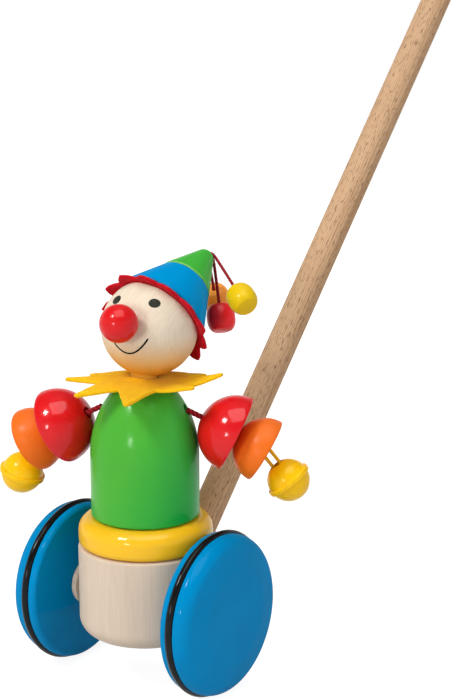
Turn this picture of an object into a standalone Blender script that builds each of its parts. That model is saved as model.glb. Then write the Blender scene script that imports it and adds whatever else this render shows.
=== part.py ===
"""Wooden push toy: a clown on two wheels, pushed along by a long leaning stick.

The clown faces -Y, the axle runs along X and +Z is up. The origin is the centre of the
flat underside of the base block. The torso with its arms turns on a dowel that joins the
base to the head, the arms swing on cords at the shoulders, and the hat carries three
beads on cords. All lengths are in metres.
"""
from math import asin, cos, pi, radians, sin, sqrt, tan

import bmesh
import bpy
from mathutils import Matrix, Vector

MM = 0.001

# Fits between neighbouring pieces
SEAT_GAP = 0.3 * MM
RUNNING_CLEARANCE = 0.4 * MM

# Base block, a turned cylinder with a well rounded foot
BASE_RADIUS = 31.0 * MM
BASE_HEIGHT = 42.6 * MM
BASE_FOOT_ROUND = 8.5 * MM
BASE_TOP_ROUND = 1.2 * MM

# Axle, wheels, tyres and spacers
AXLE_HEIGHT = 16.3 * MM
AXLE_RADIUS = 4.0 * MM
AXLE_END_ROUND = 0.5 * MM
WHEEL_RADIUS = 36.9 * MM
WHEEL_INNER_DEPTH = 5.5 * MM
WHEEL_INNER_ROUND = 2.2 * MM
WHEEL_OUTER_DEPTH = 10.6 * MM
WHEEL_SHOULDER_ROUND = 6.5 * MM
WHEEL_FACE_RADIUS = 22.0 * MM
WHEEL_FACE_CROWN = 1.4 * MM
WHEEL_BORE_DEPTH = 10.5 * MM
TYRE_CENTRE_RADIUS = 36.5 * MM
TYRE_CORD_RADIUS = 1.75 * MM
SPACER_RADIUS = 10.4 * MM
SPACER_LENGTH = 2.6 * MM
SIDE_PLAY = 1.5 * MM
SPACER_REST_GAP = 0.2 * MM

# Push stick, set into the back of the base
STICK_RADIUS = 7.5 * MM
STICK_LEAN = radians(43.1)
STICK_BEHIND_AXLE = 23.3 * MM
STICK_SOCKET_DEPTH = 21.0 * MM
STICK_LENGTH = 580.0 * MM
STICK_END_ROUND = 5.0 * MM

# Dowel from the base to the head
DOWEL_RADIUS = 6.0 * MM
DOWEL_IN_BASE = 19.0 * MM
DOWEL_IN_HEAD = 12.0 * MM
DOWEL_END_ROUND = 0.8 * MM

# Torso: ring, body and collar
TORSO_TURN = radians(24.0)
RING_RADIUS = 30.8 * MM
RING_HEIGHT = 13.0 * MM
RING_TOP_ROUND = 6.2 * MM
RING_FOOT_ROUND = 3.0 * MM
BODY_RADIUS = 24.8 * MM
BODY_HEIGHT = 62.1 * MM
BODY_STRAIGHT = 28.5 * MM
BODY_CURVE_RADIUS = 47.5 * MM
BODY_FOOT_ROUND = 1.6 * MM
BODY_TOP_ROUND = 1.6 * MM

# Felt collar: eight points, each with its heading round the torso, reach and lift at the tip
COLLAR_THICKNESS = 1.6 * MM
COLLAR_VALLEY_RADIUS = 20.0 * MM
COLLAR_VALLEY_DROP = 2.4 * MM
COLLAR_TIP_BLUNT = 0.06
COLLAR_BEND = 1.5
COLLAR_TIPS = (
    (radians(0.4), 36.5 * MM, 4.0 * MM),
    (radians(45.3), 34.0 * MM, -3.6 * MM),
    (radians(90.3), 34.0 * MM, -2.0 * MM),
    (radians(150.0), 34.0 * MM, -4.0 * MM),
    (radians(180.3), 36.5 * MM, -1.4 * MM),
    (radians(225.3), 36.0 * MM, -2.4 * MM),
    (radians(270.3), 36.0 * MM, -2.8 * MM),
    (radians(326.0), 32.5 * MM, 2.2 * MM),
)

# Head, nose, hair and hat
HEAD_RADIUS = 21.8 * MM
HEAD_NECK_GAP = 2.5 * MM
HEAD_BACK = 4.0 * MM
HEAD_ASIDE = 0.6 * MM
NOSE_RADIUS = 8.55 * MM
NOSE_TURN = radians(9.5)
NOSE_TILT = radians(14.8)
NOSE_STANDOFF = 8.0 * MM
NOSE_PEG_RADIUS = 2.5 * MM
NOSE_PEG_LENGTH = 11.0 * MM
PEG_END_ROUND = 0.4 * MM
HAT_TURN = radians(-2.5)
HAT_TILT = radians(57.3)
HAT_SEAT_HEIGHT = 7.1 * MM
HAIR_THICKNESS = 1.6 * MM
HAIR_VALLEY_RADIUS = 23.2 * MM
HAIR_BEND = 1.3
HAT_RADIUS = 22.6 * MM
HAT_STEP_RADIUS = 12.9 * MM
HAT_LOWER_HEIGHT = 20.8 * MM
HAT_LIP_ROUND = 0.8 * MM
HAT_TIP_HEIGHT = 21.2 * MM
HAT_TIP_BASE_RADIUS = 13.1 * MM
HAT_TIP_ROUND = 4.7 * MM
HAT_PEG_RADIUS = 4.0 * MM
HAT_PEG_LENGTH = 20.0 * MM
TIP_PEG_RADIUS = 3.5 * MM
TIP_PEG_LENGTH = 7.0 * MM
TASSEL_HOLE_RADIUS = 2.6 * MM
TASSEL_HOLE_DEPTH = 7.0 * MM
TASSEL_HOLE_TILT = radians(22.0)

# Felt hair under the hat's rim: twelve petals, each with its heading round the hat, reach and droop
HAIR_TIPS = (
    (radians(7.0), 29.5 * MM, 5.5 * MM),
    (radians(36.0), 27.5 * MM, 4.0 * MM),
    (radians(67.0), 26.8 * MM, 2.6 * MM),
    (radians(97.0), 26.5 * MM, 2.3 * MM),
    (radians(127.0), 26.3 * MM, 2.3 * MM),
    (radians(157.0), 26.3 * MM, 2.3 * MM),
    (radians(187.0), 26.5 * MM, 2.3 * MM),
    (radians(213.0), 26.8 * MM, 2.6 * MM),
    (radians(237.0), 27.5 * MM, 3.2 * MM),
    (radians(266.0), 27.8 * MM, 3.4 * MM),
    (radians(298.0), 30.0 * MM, 6.0 * MM),
    (radians(333.0), 30.0 * MM, 6.0 * MM),
)

# Arms: half balls on a cord from a hole in the shoulder
SHOULDER_HEIGHT = 50.0 * MM
SHOULDER_HOLE_RADIUS = 2.5 * MM
SHOULDER_HOLE_DEPTH = 9.0 * MM
ARM_SWEEP = {"right": radians(7.0), "left": radians(-10.0)}
ARM_DROOP = {"right": radians(26.2), "left": radians(27.7)}
HAND_DROOP = radians(30.5)
ARM_CORD_RADIUS = 1.3 * MM
ARM_CORD_CLEARANCE = 0.3 * MM
ARM_CORD_FREE = {"right": 7.3 * MM, "left": 7.9 * MM}
CORD_MOUTH_RADIUS = 2.8 * MM
CORD_MOUTH_DEPTH = 3.0 * MM
UPPER_BALL_RADIUS = 17.6 * MM
LOWER_BALL_RADIUS = 15.0 * MM
BALL_EDGE_ROUND = 0.8 * MM
LOOP_RECESS_RADIUS = 4.6 * MM
LOOP_RECESS_DEPTH = 5.0 * MM

# Bells: two pressed half shells on a wire loop
BELL_DROOP = {"right": radians(52.0), "left": radians(71.0)}
BELL_RADIUS = 9.7 * MM
BELL_WALL = 0.8 * MM
BELL_FLANGE_RADIUS = 10.7 * MM
BELL_FLANGE_HALF = 1.2 * MM
BELL_HANG = 17.0 * MM
BELL_SLOT_WIDTH = 2.4 * MM
BELL_SLOT_LENGTH = 13.0 * MM
BELL_LOOP_HALF = 1.9 * MM
BELL_LOOP_RISE = 3.0 * MM
BELL_LOOP_WIRE_RADIUS = 0.85 * MM
BELL_TOP_HOLE_RADIUS = 3.2 * MM
PELLET_RADIUS = 2.6 * MM

# Hat tassels: barrel beads on thin cords, each with its place round the hole in the hat's tip
# and its bead's place from that hole in millimetres
TASSEL_CORD_RADIUS = 0.75 * MM
TASSEL_CORD_CLEARANCE = 0.35 * MM
BEAD_RADIUS = 6.6 * MM
BEAD_HALF_LENGTH = 6.0 * MM
BEAD_END_RADIUS = 4.4 * MM
BEAD_BORE_DEPTH = 9.6 * MM
TASSEL_SPACING = 1.25 * MM
TASSEL_LIFT = 0.6 * MM
TASSEL_ROOT = 0.6 * MM
TASSEL_BEND_SHARE = 0.7
TASSELS = (
    ("yellow", radians(-65.0), (27.0, -12.9, -15.0)),
    ("red", radians(55.0), (11.9, -7.8, -26.6)),
    ("orange", radians(175.0), (-5.5, 12.8, -22.9)),
)

# Facets round a turned piece, by its size
FACETS_LARGE = 30
FACETS_MEDIUM = 22
FACETS_SMALL = 16
FACETS_PELLET = 12
ARC_STEPS = 5
FELT_BENDS = 3
COLLAR_STEPS_PER_TIP = 6
HAIR_STEPS_PER_TIP = 5

COLLECTION_NAME = "push_toy_clown"
CUTTER_COLLECTION_NAME = "push_toy_clown_cutters"

COLOURS = {
    "maple": ((0.78, 0.66, 0.52, 1.0), 0.55, 0.0),
    "beech": ((0.62, 0.42, 0.27, 1.0), 0.5, 0.0),
    "blue": ((0.0, 0.27, 0.66, 1.0), 0.25, 0.0),
    "green": ((0.07, 0.40, 0.05, 1.0), 0.25, 0.0),
    "yellow": ((0.95, 0.55, 0.02, 1.0), 0.25, 0.0),
    "red": ((0.70, 0.01, 0.01, 1.0), 0.25, 0.0),
    "orange": ((0.85, 0.15, 0.01, 1.0), 0.25, 0.0),
    "rubber": ((0.01, 0.01, 0.01, 1.0), 0.45, 0.0),
    "yellow_felt": ((0.95, 0.60, 0.03, 1.0), 0.95, 0.0),
    "red_felt": ((0.62, 0.01, 0.02, 1.0), 0.95, 0.0),
    "cord": ((0.20, 0.01, 0.015, 1.0), 0.85, 0.0),
    "bell": ((0.90, 0.50, 0.01, 1.0), 0.3, 0.0),
    "steel": ((0.55, 0.55, 0.56, 1.0), 0.3, 1.0),
}

# Heights and widths that follow from the sizes above; the axle has slid to the left until its spacer rests
TRACK_HALF = BASE_RADIUS + SIDE_PLAY + SPACER_LENGTH + SEAT_GAP + WHEEL_INNER_DEPTH
SIDE_PLAY_SHIFT = SPACER_REST_GAP - SIDE_PLAY
RING_BOTTOM = BASE_HEIGHT + SEAT_GAP
BODY_BOTTOM = RING_BOTTOM + RING_HEIGHT + SEAT_GAP
BODY_TOP = BODY_BOTTOM + BODY_HEIGHT
SHOULDER_Z = BODY_BOTTOM + SHOULDER_HEIGHT
HEAD_CENTRE = Vector((HEAD_ASIDE, HEAD_BACK, BODY_TOP + HEAD_NECK_GAP + HEAD_RADIUS))
AXLE_CENTRE = Vector((0.0, 0.0, AXLE_HEIGHT))


def clear_scene():
    for obj in list(bpy.data.objects):
        bpy.data.objects.remove(obj, do_unlink=True)


def make_collection(name):
    collection = bpy.data.collections.new(name)
    bpy.context.scene.collection.children.link(collection)
    return collection


def make_material(name):
    colour, roughness, metallic = COLOURS[name]
    material = bpy.data.materials.new(name)
    material.use_nodes = True
    shader = material.node_tree.nodes["Principled BSDF"]
    shader.inputs["Base Color"].default_value = colour
    shader.inputs["Roughness"].default_value = roughness
    shader.inputs["Metallic"].default_value = metallic
    material.diffuse_color = colour
    return material


clear_scene()
PARTS = make_collection(COLLECTION_NAME)
CUTTERS = make_collection(CUTTER_COLLECTION_NAME)
MATERIALS = {name: make_material(name) for name in COLOURS}


# Placing helpers

def along(direction):
    """Rotation that turns local +Z to the given direction."""
    return Vector(direction).to_track_quat("Z", "Y").to_matrix().to_4x4()


def heading(azimuth, elevation):
    """Unit vector at an azimuth from +X and an elevation above the horizontal."""
    flat = cos(elevation)
    return Vector((flat * cos(azimuth), flat * sin(azimuth), sin(elevation)))


def make_pivot(name, parent=None, matrix=None):
    pivot = bpy.data.objects.new(name, None)
    pivot.empty_display_size = 0.01
    PARTS.objects.link(pivot)
    pivot.parent = parent
    pivot.matrix_local = matrix or Matrix()
    return pivot


def add_part(name, data, material, parent=None, matrix=None):
    obj = bpy.data.objects.new(name, data)
    PARTS.objects.link(obj)
    data.materials.append(MATERIALS[material])
    obj.parent = parent
    obj.matrix_local = matrix or Matrix()
    return obj


# Shape helpers

def arc(centre_r, centre_z, radius, start, end, steps=ARC_STEPS):
    """Points of a profile arc from angle start to end, measured from +R towards +Z."""
    points = []
    for step in range(steps + 1):
        angle = start + (end - start) * step / steps
        points.append((centre_r + radius * cos(angle), centre_z + radius * sin(angle)))
    return points


def turned(name, profile, material, facets, closed=False, parent=None, matrix=None):
    """Turned piece about local Z: a profile of (radius, height) run by a Screw modifier."""
    mesh = bpy.data.meshes.new(name)
    last = len(profile) - 1
    edges = [(i, i + 1) for i in range(last)]
    if closed:
        edges.append((last, 0))
    mesh.from_pydata([(r, 0.0, z) for r, z in profile], edges, [])
    obj = add_part(name, mesh, material, parent, matrix)
    screw = obj.modifiers.new("turn", "SCREW")
    screw.axis = "Z"
    screw.angle = 2 * pi
    screw.steps = facets
    screw.render_steps = facets
    screw.use_merge_vertices = True
    screw.merge_threshold = 1e-6
    screw.use_smooth_shade = True
    return obj


def cutter_mesh(name, mesh, matrix):
    obj = bpy.data.objects.new(name, mesh)
    CUTTERS.objects.link(obj)
    obj.matrix_world = matrix
    obj.hide_render = True
    obj.display_type = "WIRE"
    return obj


def round_cutter(name, radius, start, end, facets):
    """Cylinder cutter from one point to another."""
    start = Vector(start)
    end = Vector(end)
    mesh = bpy.data.meshes.new(name)
    shape = bmesh.new()
    length = (end - start).length
    bmesh.ops.create_cone(shape, cap_ends=True, segments=facets, radius1=radius, radius2=radius,
                          depth=length)
    shape.to_mesh(mesh)
    shape.free()
    middle = (start + end) / 2
    return cutter_mesh(name, mesh, Matrix.Translation(middle) @ along(end - start))


def ball_cutter(name, radius, centre, facets):
    mesh = bpy.data.meshes.new(name)
    shape = bmesh.new()
    bmesh.ops.create_uvsphere(shape, u_segments=facets, v_segments=facets // 2, radius=radius)
    shape.to_mesh(mesh)
    shape.free()
    return cutter_mesh(name, mesh, Matrix.Translation(centre))


def box_cutter(name, size, matrix):
    mesh = bpy.data.meshes.new(name)
    shape = bmesh.new()
    bmesh.ops.create_cube(shape, size=1.0)
    bmesh.ops.scale(shape, vec=size, verts=shape.verts)
    shape.to_mesh(mesh)
    shape.free()
    return cutter_mesh(name, mesh, matrix)


def cut(obj, cutter):
    boolean = obj.modifiers.new(cutter.name, "BOOLEAN")
    boolean.operation = "DIFFERENCE"
    boolean.solver = "EXACT"
    boolean.object = cutter


def world_matrix(obj):
    bpy.context.view_layer.update()
    return obj.matrix_world.copy()


def tube(name, points, radius, material, parent=None, matrix=None, resolution=2):
    """Round cord or wire through a list of points, with filled ends."""
    curve = bpy.data.curves.new(name, "CURVE")
    curve.dimensions = "3D"
    spline = curve.splines.new("POLY")
    spline.points.add(len(points) - 1)
    for point, place in zip(spline.points, points):
        point.co = (*place, 1.0)
    curve.bevel_depth = radius
    curve.bevel_resolution = resolution
    curve.use_fill_caps = True
    return add_part(name, curve, material, parent, matrix)


def rod(name, radius, bottom, top, edge, material, facets, parent=None, matrix=None):
    """Solid turned rod along local Z with small rounded ends."""
    profile = [(0.0, top)]
    profile += arc(radius - edge, top - edge, edge, pi / 2, 0.0, 2)
    profile += arc(radius - edge, bottom + edge, edge, 0.0, -pi / 2, 2)
    profile.append((0.0, bottom))
    return turned(name, profile, material, facets, parent=parent, matrix=matrix)


# Base block and stick

def stick_axis_point(distance):
    """Point on the stick's axis, measured up from the height of the axle."""
    foot = Vector((0.0, STICK_BEHIND_AXLE, AXLE_HEIGHT))
    return foot + distance * Vector((0.0, sin(STICK_LEAN), cos(STICK_LEAN)))


STICK_DIRECTION = Vector((0.0, sin(STICK_LEAN), cos(STICK_LEAN)))
STICK_ENTRY = (BASE_RADIUS - STICK_BEHIND_AXLE) / sin(STICK_LEAN)
STICK_FOOT = STICK_ENTRY - STICK_SOCKET_DEPTH


def make_base():
    foot = BASE_FOOT_ROUND
    top = BASE_TOP_ROUND
    profile = [(0.0, BASE_HEIGHT)]
    profile += arc(BASE_RADIUS - top, BASE_HEIGHT - top, top, pi / 2, 0.0, 2)
    profile += arc(BASE_RADIUS - foot, foot, foot, 0.0, -pi / 2, 6)
    profile.append((0.0, 0.0))
    base = turned("base_block", profile, "maple", FACETS_LARGE)
    reach = 2 * BASE_RADIUS
    axle_bore = AXLE_RADIUS + RUNNING_CLEARANCE
    cut(base, round_cutter("cut_axle", axle_bore, AXLE_CENTRE - Vector((reach, 0, 0)),
                           AXLE_CENTRE + Vector((reach, 0, 0)), FACETS_SMALL))
    socket_floor = BASE_HEIGHT - DOWEL_IN_BASE - SEAT_GAP
    cut(base, round_cutter("cut_dowel", DOWEL_RADIUS + SEAT_GAP, (0, 0, socket_floor),
                           (0, 0, BASE_HEIGHT + DOWEL_IN_BASE), FACETS_MEDIUM))
    cut(base, round_cutter("cut_stick", STICK_RADIUS + SEAT_GAP,
                           stick_axis_point(STICK_FOOT - SEAT_GAP),
                           stick_axis_point(STICK_ENTRY + reach), FACETS_MEDIUM))


def make_stick():
    matrix = Matrix.Translation(stick_axis_point(STICK_FOOT)) @ along(STICK_DIRECTION)
    profile = [(0.0, STICK_LENGTH)]
    profile += arc(STICK_RADIUS - STICK_END_ROUND, STICK_LENGTH - STICK_END_ROUND,
                   STICK_END_ROUND, pi / 2, 0.0)
    profile += [(STICK_RADIUS, 0.0), (0.0, 0.0)]
    turned("push_stick", profile, "beech", FACETS_MEDIUM, matrix=matrix)


# Wheels on their axle

def wheel_profile():
    """Outer face crown, rounded shoulder, tyre groove, inner face and blind axle bore."""
    groove = TYRE_CORD_RADIUS + SEAT_GAP
    face = WHEEL_OUTER_DEPTH - WHEEL_FACE_CROWN
    shoulder = WHEEL_SHOULDER_ROUND
    rim = WHEEL_INNER_ROUND
    bore = AXLE_RADIUS + SEAT_GAP
    bore_end = WHEEL_BORE_DEPTH - WHEEL_INNER_DEPTH
    profile = [(0.0, WHEEL_OUTER_DEPTH), (WHEEL_FACE_RADIUS, WHEEL_OUTER_DEPTH - WHEEL_FACE_CROWN / 3)]
    profile += arc(WHEEL_RADIUS - shoulder, face - shoulder, shoulder, pi / 2, 0.0)
    dip = asin((WHEEL_RADIUS - TYRE_CENTRE_RADIUS) / groove)
    profile += arc(TYRE_CENTRE_RADIUS, 0.0, groove, dip + pi / 2 - 2 * dip, 1.5 * pi - dip + 2 * dip, 6)
    profile += arc(WHEEL_RADIUS - rim, rim - WHEEL_INNER_DEPTH, rim, 0.0, -pi / 2, 4)
    profile += [(bore, -WHEEL_INNER_DEPTH), (bore, bore_end), (0.0, bore_end)]
    return profile


def make_wheel_set():
    slid = AXLE_CENTRE + Vector((SIDE_PLAY_SHIFT, 0.0, 0.0))
    axle_pivot = make_pivot("axle_pivot", matrix=Matrix.Translation(slid))
    axle_half = TRACK_HALF - WHEEL_INNER_DEPTH + WHEEL_BORE_DEPTH - SEAT_GAP
    rod("axle", AXLE_RADIUS, -axle_half, axle_half, AXLE_END_ROUND, "beech", FACETS_SMALL,
        axle_pivot, along((1, 0, 0)))
    spacer_outer = TRACK_HALF - WHEEL_INNER_DEPTH - SEAT_GAP
    spacer_inner = spacer_outer - SPACER_LENGTH
    spacer_bore = AXLE_RADIUS + SEAT_GAP
    for side, sign in (("right", 1), ("left", -1)):
        outward = along((sign, 0, 0))
        place = Matrix.Translation((sign * TRACK_HALF, 0, 0)) @ outward
        turned("wheel_" + side, wheel_profile(), "blue", FACETS_LARGE, parent=axle_pivot, matrix=place)
        tyre = arc(TYRE_CENTRE_RADIUS, 0.0, TYRE_CORD_RADIUS, pi / 2, -1.5 * pi, 8)[:-1]
        turned("tyre_" + side, tyre, "rubber", FACETS_LARGE, True, axle_pivot, place)
        washer = [(SPACER_RADIUS, spacer_outer), (SPACER_RADIUS, spacer_inner),
                  (spacer_bore, spacer_inner), (spacer_bore, spacer_outer)]
        turned("spacer_" + side, washer, "maple", FACETS_MEDIUM, True, axle_pivot, outward)


# Dowel, ring, body and collar

def body_curve_drop(height):
    """How far the body's side has drawn in at a height above its straight part."""
    rise = max(height - BODY_STRAIGHT, 0.0)
    return BODY_CURVE_RADIUS - sqrt(BODY_CURVE_RADIUS ** 2 - rise ** 2)


def make_dowel():
    bottom = BASE_HEIGHT - DOWEL_IN_BASE
    top = HEAD_CENTRE.z - HEAD_RADIUS + DOWEL_IN_HEAD
    rod("centre_dowel", DOWEL_RADIUS, bottom, top, DOWEL_END_ROUND, "maple", FACETS_MEDIUM)


def make_ring(torso):
    bore = DOWEL_RADIUS + RUNNING_CLEARANCE
    top = RING_BOTTOM + RING_HEIGHT
    upper = RING_TOP_ROUND
    lower = RING_FOOT_ROUND
    profile = arc(RING_RADIUS - upper, top - upper, upper, pi / 2, 0.0)
    profile += arc(RING_RADIUS - lower, RING_BOTTOM + lower, lower, 0.0, -pi / 2)
    profile += [(bore, RING_BOTTOM), (bore, top)]
    turned("waist_ring", profile, "yellow", FACETS_LARGE, True, torso)


def make_body(torso):
    bore = DOWEL_RADIUS + RUNNING_CLEARANCE
    foot = BODY_FOOT_ROUND
    crown = BODY_HEIGHT - BODY_TOP_ROUND
    profile = [(bore, BODY_TOP)]
    profile.append((BODY_RADIUS - body_curve_drop(crown) - BODY_TOP_ROUND, BODY_TOP))
    steps = 8
    for step in range(steps + 1):
        height = crown + (BODY_STRAIGHT - crown) * step / steps
        profile.append((BODY_RADIUS - body_curve_drop(height), BODY_BOTTOM + height))
    profile += arc(BODY_RADIUS - foot, BODY_BOTTOM + foot, foot, 0.0, -pi / 2, 2)
    profile.append((bore, BODY_BOTTOM))
    body = turned("body", profile, "green", FACETS_LARGE, True, torso)
    turn = world_matrix(torso)
    for side, azimuth in (("right", 0.0), ("left", pi)):
        outward = heading(azimuth, 0.0)
        mouth = shoulder_point(azimuth)
        start = turn @ (mouth - SHOULDER_HOLE_DEPTH * outward)
        end = turn @ (mouth + BODY_RADIUS * outward)
        cut(body, round_cutter("cut_shoulder_" + side, SHOULDER_HOLE_RADIUS, start, end, FACETS_SMALL))


def felt_sheet(name, bore, flat, outline, height, thickness, material, angles, parent, matrix):
    """Felt cut to an outline round a bore, flat to one radius and bent beyond it by a height."""
    mesh = bpy.data.meshes.new(name)
    shape = bmesh.new()
    grid = []
    for angle in angles:
        edge = outline(angle)
        radii = [bore] + [flat + (edge - flat) * step / FELT_BENDS for step in range(FELT_BENDS + 1)]
        row = []
        for radius in radii:
            row.append(shape.verts.new((radius * cos(angle), radius * sin(angle), height(radius, angle))))
        grid.append(row)
    count = len(grid)
    for i in range(count):
        row, after = grid[i], grid[(i + 1) % count]
        for ring in range(FELT_BENDS + 1):
            shape.faces.new((row[ring], row[ring + 1], after[ring + 1], after[ring]))
    shape.to_mesh(mesh)
    shape.free()
    obj = add_part(name, mesh, material, parent, matrix)
    solid = obj.modifiers.new("felt", "SOLIDIFY")
    solid.thickness = thickness
    solid.offset = 1.0
    return obj


COLLAR_FLAT_RADIUS = BODY_RADIUS - body_curve_drop(BODY_HEIGHT - BODY_TOP_ROUND)


def tips_beside(tips, angle):
    """The two felt tips on either side of an angle, and the share of the way between them."""
    count = len(tips)
    for index in range(count):
        first = tips[index]
        second = tips[(index + 1) % count]
        span = (second[0] - first[0]) % (2 * pi)
        ahead = (angle - first[0]) % (2 * pi)
        if ahead <= span:
            return first, second, ahead / span
    return tips[0], tips[0], 0.0


def tip_weight(share):
    """How much the first of two tips counts on the way to the second."""
    return cos(pi * share) * 0.5 + 0.5


def tip_angles(tips, steps):
    """Angles round a felt piece with the same number of steps from each tip to the next."""
    angles = []
    for index, tip in enumerate(tips):
        following = tips[(index + 1) % len(tips)]
        span = (following[0] - tip[0]) % (2 * pi)
        angles += [tip[0] + span * step / steps for step in range(steps)]
    return angles


def collar_edge(angle):
    """Pointed star with blunt tips; two tips that stand close have a shallow valley between them."""
    first, second, share = tips_beside(COLLAR_TIPS, angle)
    near = first if share < 0.5 else second
    span = (second[0] - first[0]) % (2 * pi)
    shallow = max(0.0, 1.0 - span * len(COLLAR_TIPS) / (2 * pi))
    valley = COLLAR_VALLEY_RADIUS + (near[1] - COLLAR_VALLEY_RADIUS) * shallow
    fall = max(1.0 - abs(1.0 - 2.0 * share) - COLLAR_TIP_BLUNT, 0.0) / (1.0 - COLLAR_TIP_BLUNT)
    return near[1] + (valley - near[1]) * fall


def collar_height(radius, angle):
    first, second, share = tips_beside(COLLAR_TIPS, angle)
    weight = tip_weight(share)
    tip_lift = first[2] * weight + second[2] * (1.0 - weight)
    reach = max(radius - COLLAR_FLAT_RADIUS, 0.0) / (max(first[1], second[1]) - COLLAR_FLAT_RADIUS)
    valley = -COLLAR_VALLEY_DROP * (1.0 - abs(1.0 - 2.0 * share)) * reach
    side = sin(pi * share) ** 2
    return BODY_TOP + SEAT_GAP + tip_lift * reach ** COLLAR_BEND * (1.0 - 0.5 * side) + valley


def make_collar(torso):
    bore = DOWEL_RADIUS + RUNNING_CLEARANCE
    felt_sheet("collar", bore, COLLAR_FLAT_RADIUS, collar_edge, collar_height, COLLAR_THICKNESS,
               "yellow_felt", tip_angles(COLLAR_TIPS, COLLAR_STEPS_PER_TIP), torso, Matrix())


# Head, nose, hair and hat

NOSE_DIRECTION = heading(-pi / 2 + NOSE_TURN, NOSE_TILT)
NOSE_REACH = HEAD_RADIUS + NOSE_STANDOFF
HAT_DIRECTION = heading(pi / 2 + HAT_TURN, pi / 2 - HAT_TILT)
HAT_FRAME = Matrix.Translation(HEAD_CENTRE) @ along(HAT_DIRECTION)
HAIR_BOTTOM = HAT_SEAT_HEIGHT + SEAT_GAP
HAIR_FLAT_RADIUS = sqrt(HEAD_RADIUS ** 2 - HAT_SEAT_HEIGHT ** 2) + SEAT_GAP
HAT_BOTTOM = HAIR_BOTTOM + HAIR_THICKNESS + SEAT_GAP
TIP_BOTTOM = HAT_BOTTOM + HAT_LOWER_HEIGHT + SEAT_GAP
TIP_TOP = TIP_BOTTOM + HAT_TIP_HEIGHT
HAT_PEG_BOTTOM = HAT_SEAT_HEIGHT - HAT_PEG_LENGTH / 2
TIP_ROUND_CENTRE = HEAD_CENTRE + (TIP_TOP - HAT_TIP_ROUND) * HAT_DIRECTION
TASSEL_DIRECTION = heading(pi / 2 + HAT_TURN, pi / 2 - HAT_TILT - TASSEL_HOLE_TILT)
TASSEL_MOUTH = TIP_ROUND_CENTRE + HAT_TIP_ROUND * TASSEL_DIRECTION


def make_head():
    seat_angle = asin(HAT_SEAT_HEIGHT / HEAD_RADIUS)
    profile = [(0.0, HAT_SEAT_HEIGHT)]
    profile += arc(0.0, 0.0, HEAD_RADIUS, seat_angle, -pi / 2, 11)
    profile[-1] = (0.0, -HEAD_RADIUS)
    head = turned("head", profile, "maple", FACETS_LARGE, matrix=HAT_FRAME)
    neck_bottom = HEAD_CENTRE.z - 2 * HEAD_RADIUS
    neck_top = HEAD_CENTRE.z - HEAD_RADIUS + DOWEL_IN_HEAD + SEAT_GAP
    cut(head, round_cutter("cut_neck", DOWEL_RADIUS + SEAT_GAP, (0, 0, neck_bottom), (0, 0, neck_top),
                           FACETS_MEDIUM))
    peg_start = HEAD_CENTRE + (HEAD_RADIUS - NOSE_PEG_LENGTH / 2 - SEAT_GAP) * NOSE_DIRECTION
    peg_end = HEAD_CENTRE + 2 * HEAD_RADIUS * NOSE_DIRECTION
    cut(head, round_cutter("cut_nose_peg", NOSE_PEG_RADIUS + SEAT_GAP, peg_start, peg_end, FACETS_SMALL))
    hat_start = HEAD_CENTRE + (HAT_PEG_BOTTOM - SEAT_GAP) * HAT_DIRECTION
    hat_end = HEAD_CENTRE + 2 * HEAD_RADIUS * HAT_DIRECTION
    cut(head, round_cutter("cut_hat_peg", HAT_PEG_RADIUS + SEAT_GAP, hat_start, hat_end, FACETS_SMALL))


def make_nose():
    frame = Matrix.Translation(HEAD_CENTRE) @ along(NOSE_DIRECTION)
    profile = arc(0.0, NOSE_REACH, NOSE_RADIUS, pi / 2, -pi / 2, 10)
    profile[0] = (0.0, NOSE_REACH + NOSE_RADIUS)
    profile[-1] = (0.0, NOSE_REACH - NOSE_RADIUS)
    nose = turned("nose", profile, "red", FACETS_MEDIUM, matrix=frame)
    cut(nose, ball_cutter("cut_nose_seat", HEAD_RADIUS + SEAT_GAP, HEAD_CENTRE, FACETS_LARGE))
    start = HEAD_CENTRE + (HEAD_RADIUS - NOSE_PEG_LENGTH) * NOSE_DIRECTION
    end = HEAD_CENTRE + (HEAD_RADIUS + NOSE_PEG_LENGTH / 2 + SEAT_GAP) * NOSE_DIRECTION
    cut(nose, round_cutter("cut_nose_bore", NOSE_PEG_RADIUS + SEAT_GAP, start, end, FACETS_SMALL))
    rod("nose_peg", NOSE_PEG_RADIUS, HEAD_RADIUS - NOSE_PEG_LENGTH / 2, HEAD_RADIUS + NOSE_PEG_LENGTH / 2,
        PEG_END_ROUND, "beech", FACETS_SMALL, matrix=frame)


def hair_edge(angle):
    """Round petals that meet in sharp valleys."""
    first, second, share = tips_beside(HAIR_TIPS, angle)
    near = first if share < 0.5 else second
    return HAIR_VALLEY_RADIUS + (near[1] - HAIR_VALLEY_RADIUS) * abs(cos(pi * share))


def hair_height(radius, angle):
    """Flat under the hat, bending down past the rim of the head's seat."""
    first, second, share = tips_beside(HAIR_TIPS, angle)
    weight = tip_weight(share)
    reach = first[1] * weight + second[1] * (1.0 - weight)
    droop = first[2] * weight + second[2] * (1.0 - weight)
    past = max(radius - HAIR_FLAT_RADIUS, 0.0) / (reach - HAIR_FLAT_RADIUS)
    return HAIR_BOTTOM - droop * past ** HAIR_BEND


def make_hair():
    felt_sheet("hair", HAT_PEG_RADIUS + SEAT_GAP, HAIR_FLAT_RADIUS, hair_edge, hair_height, HAIR_THICKNESS,
               "red_felt", tip_angles(HAIR_TIPS, HAIR_STEPS_PER_TIP), None, HAT_FRAME)


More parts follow.
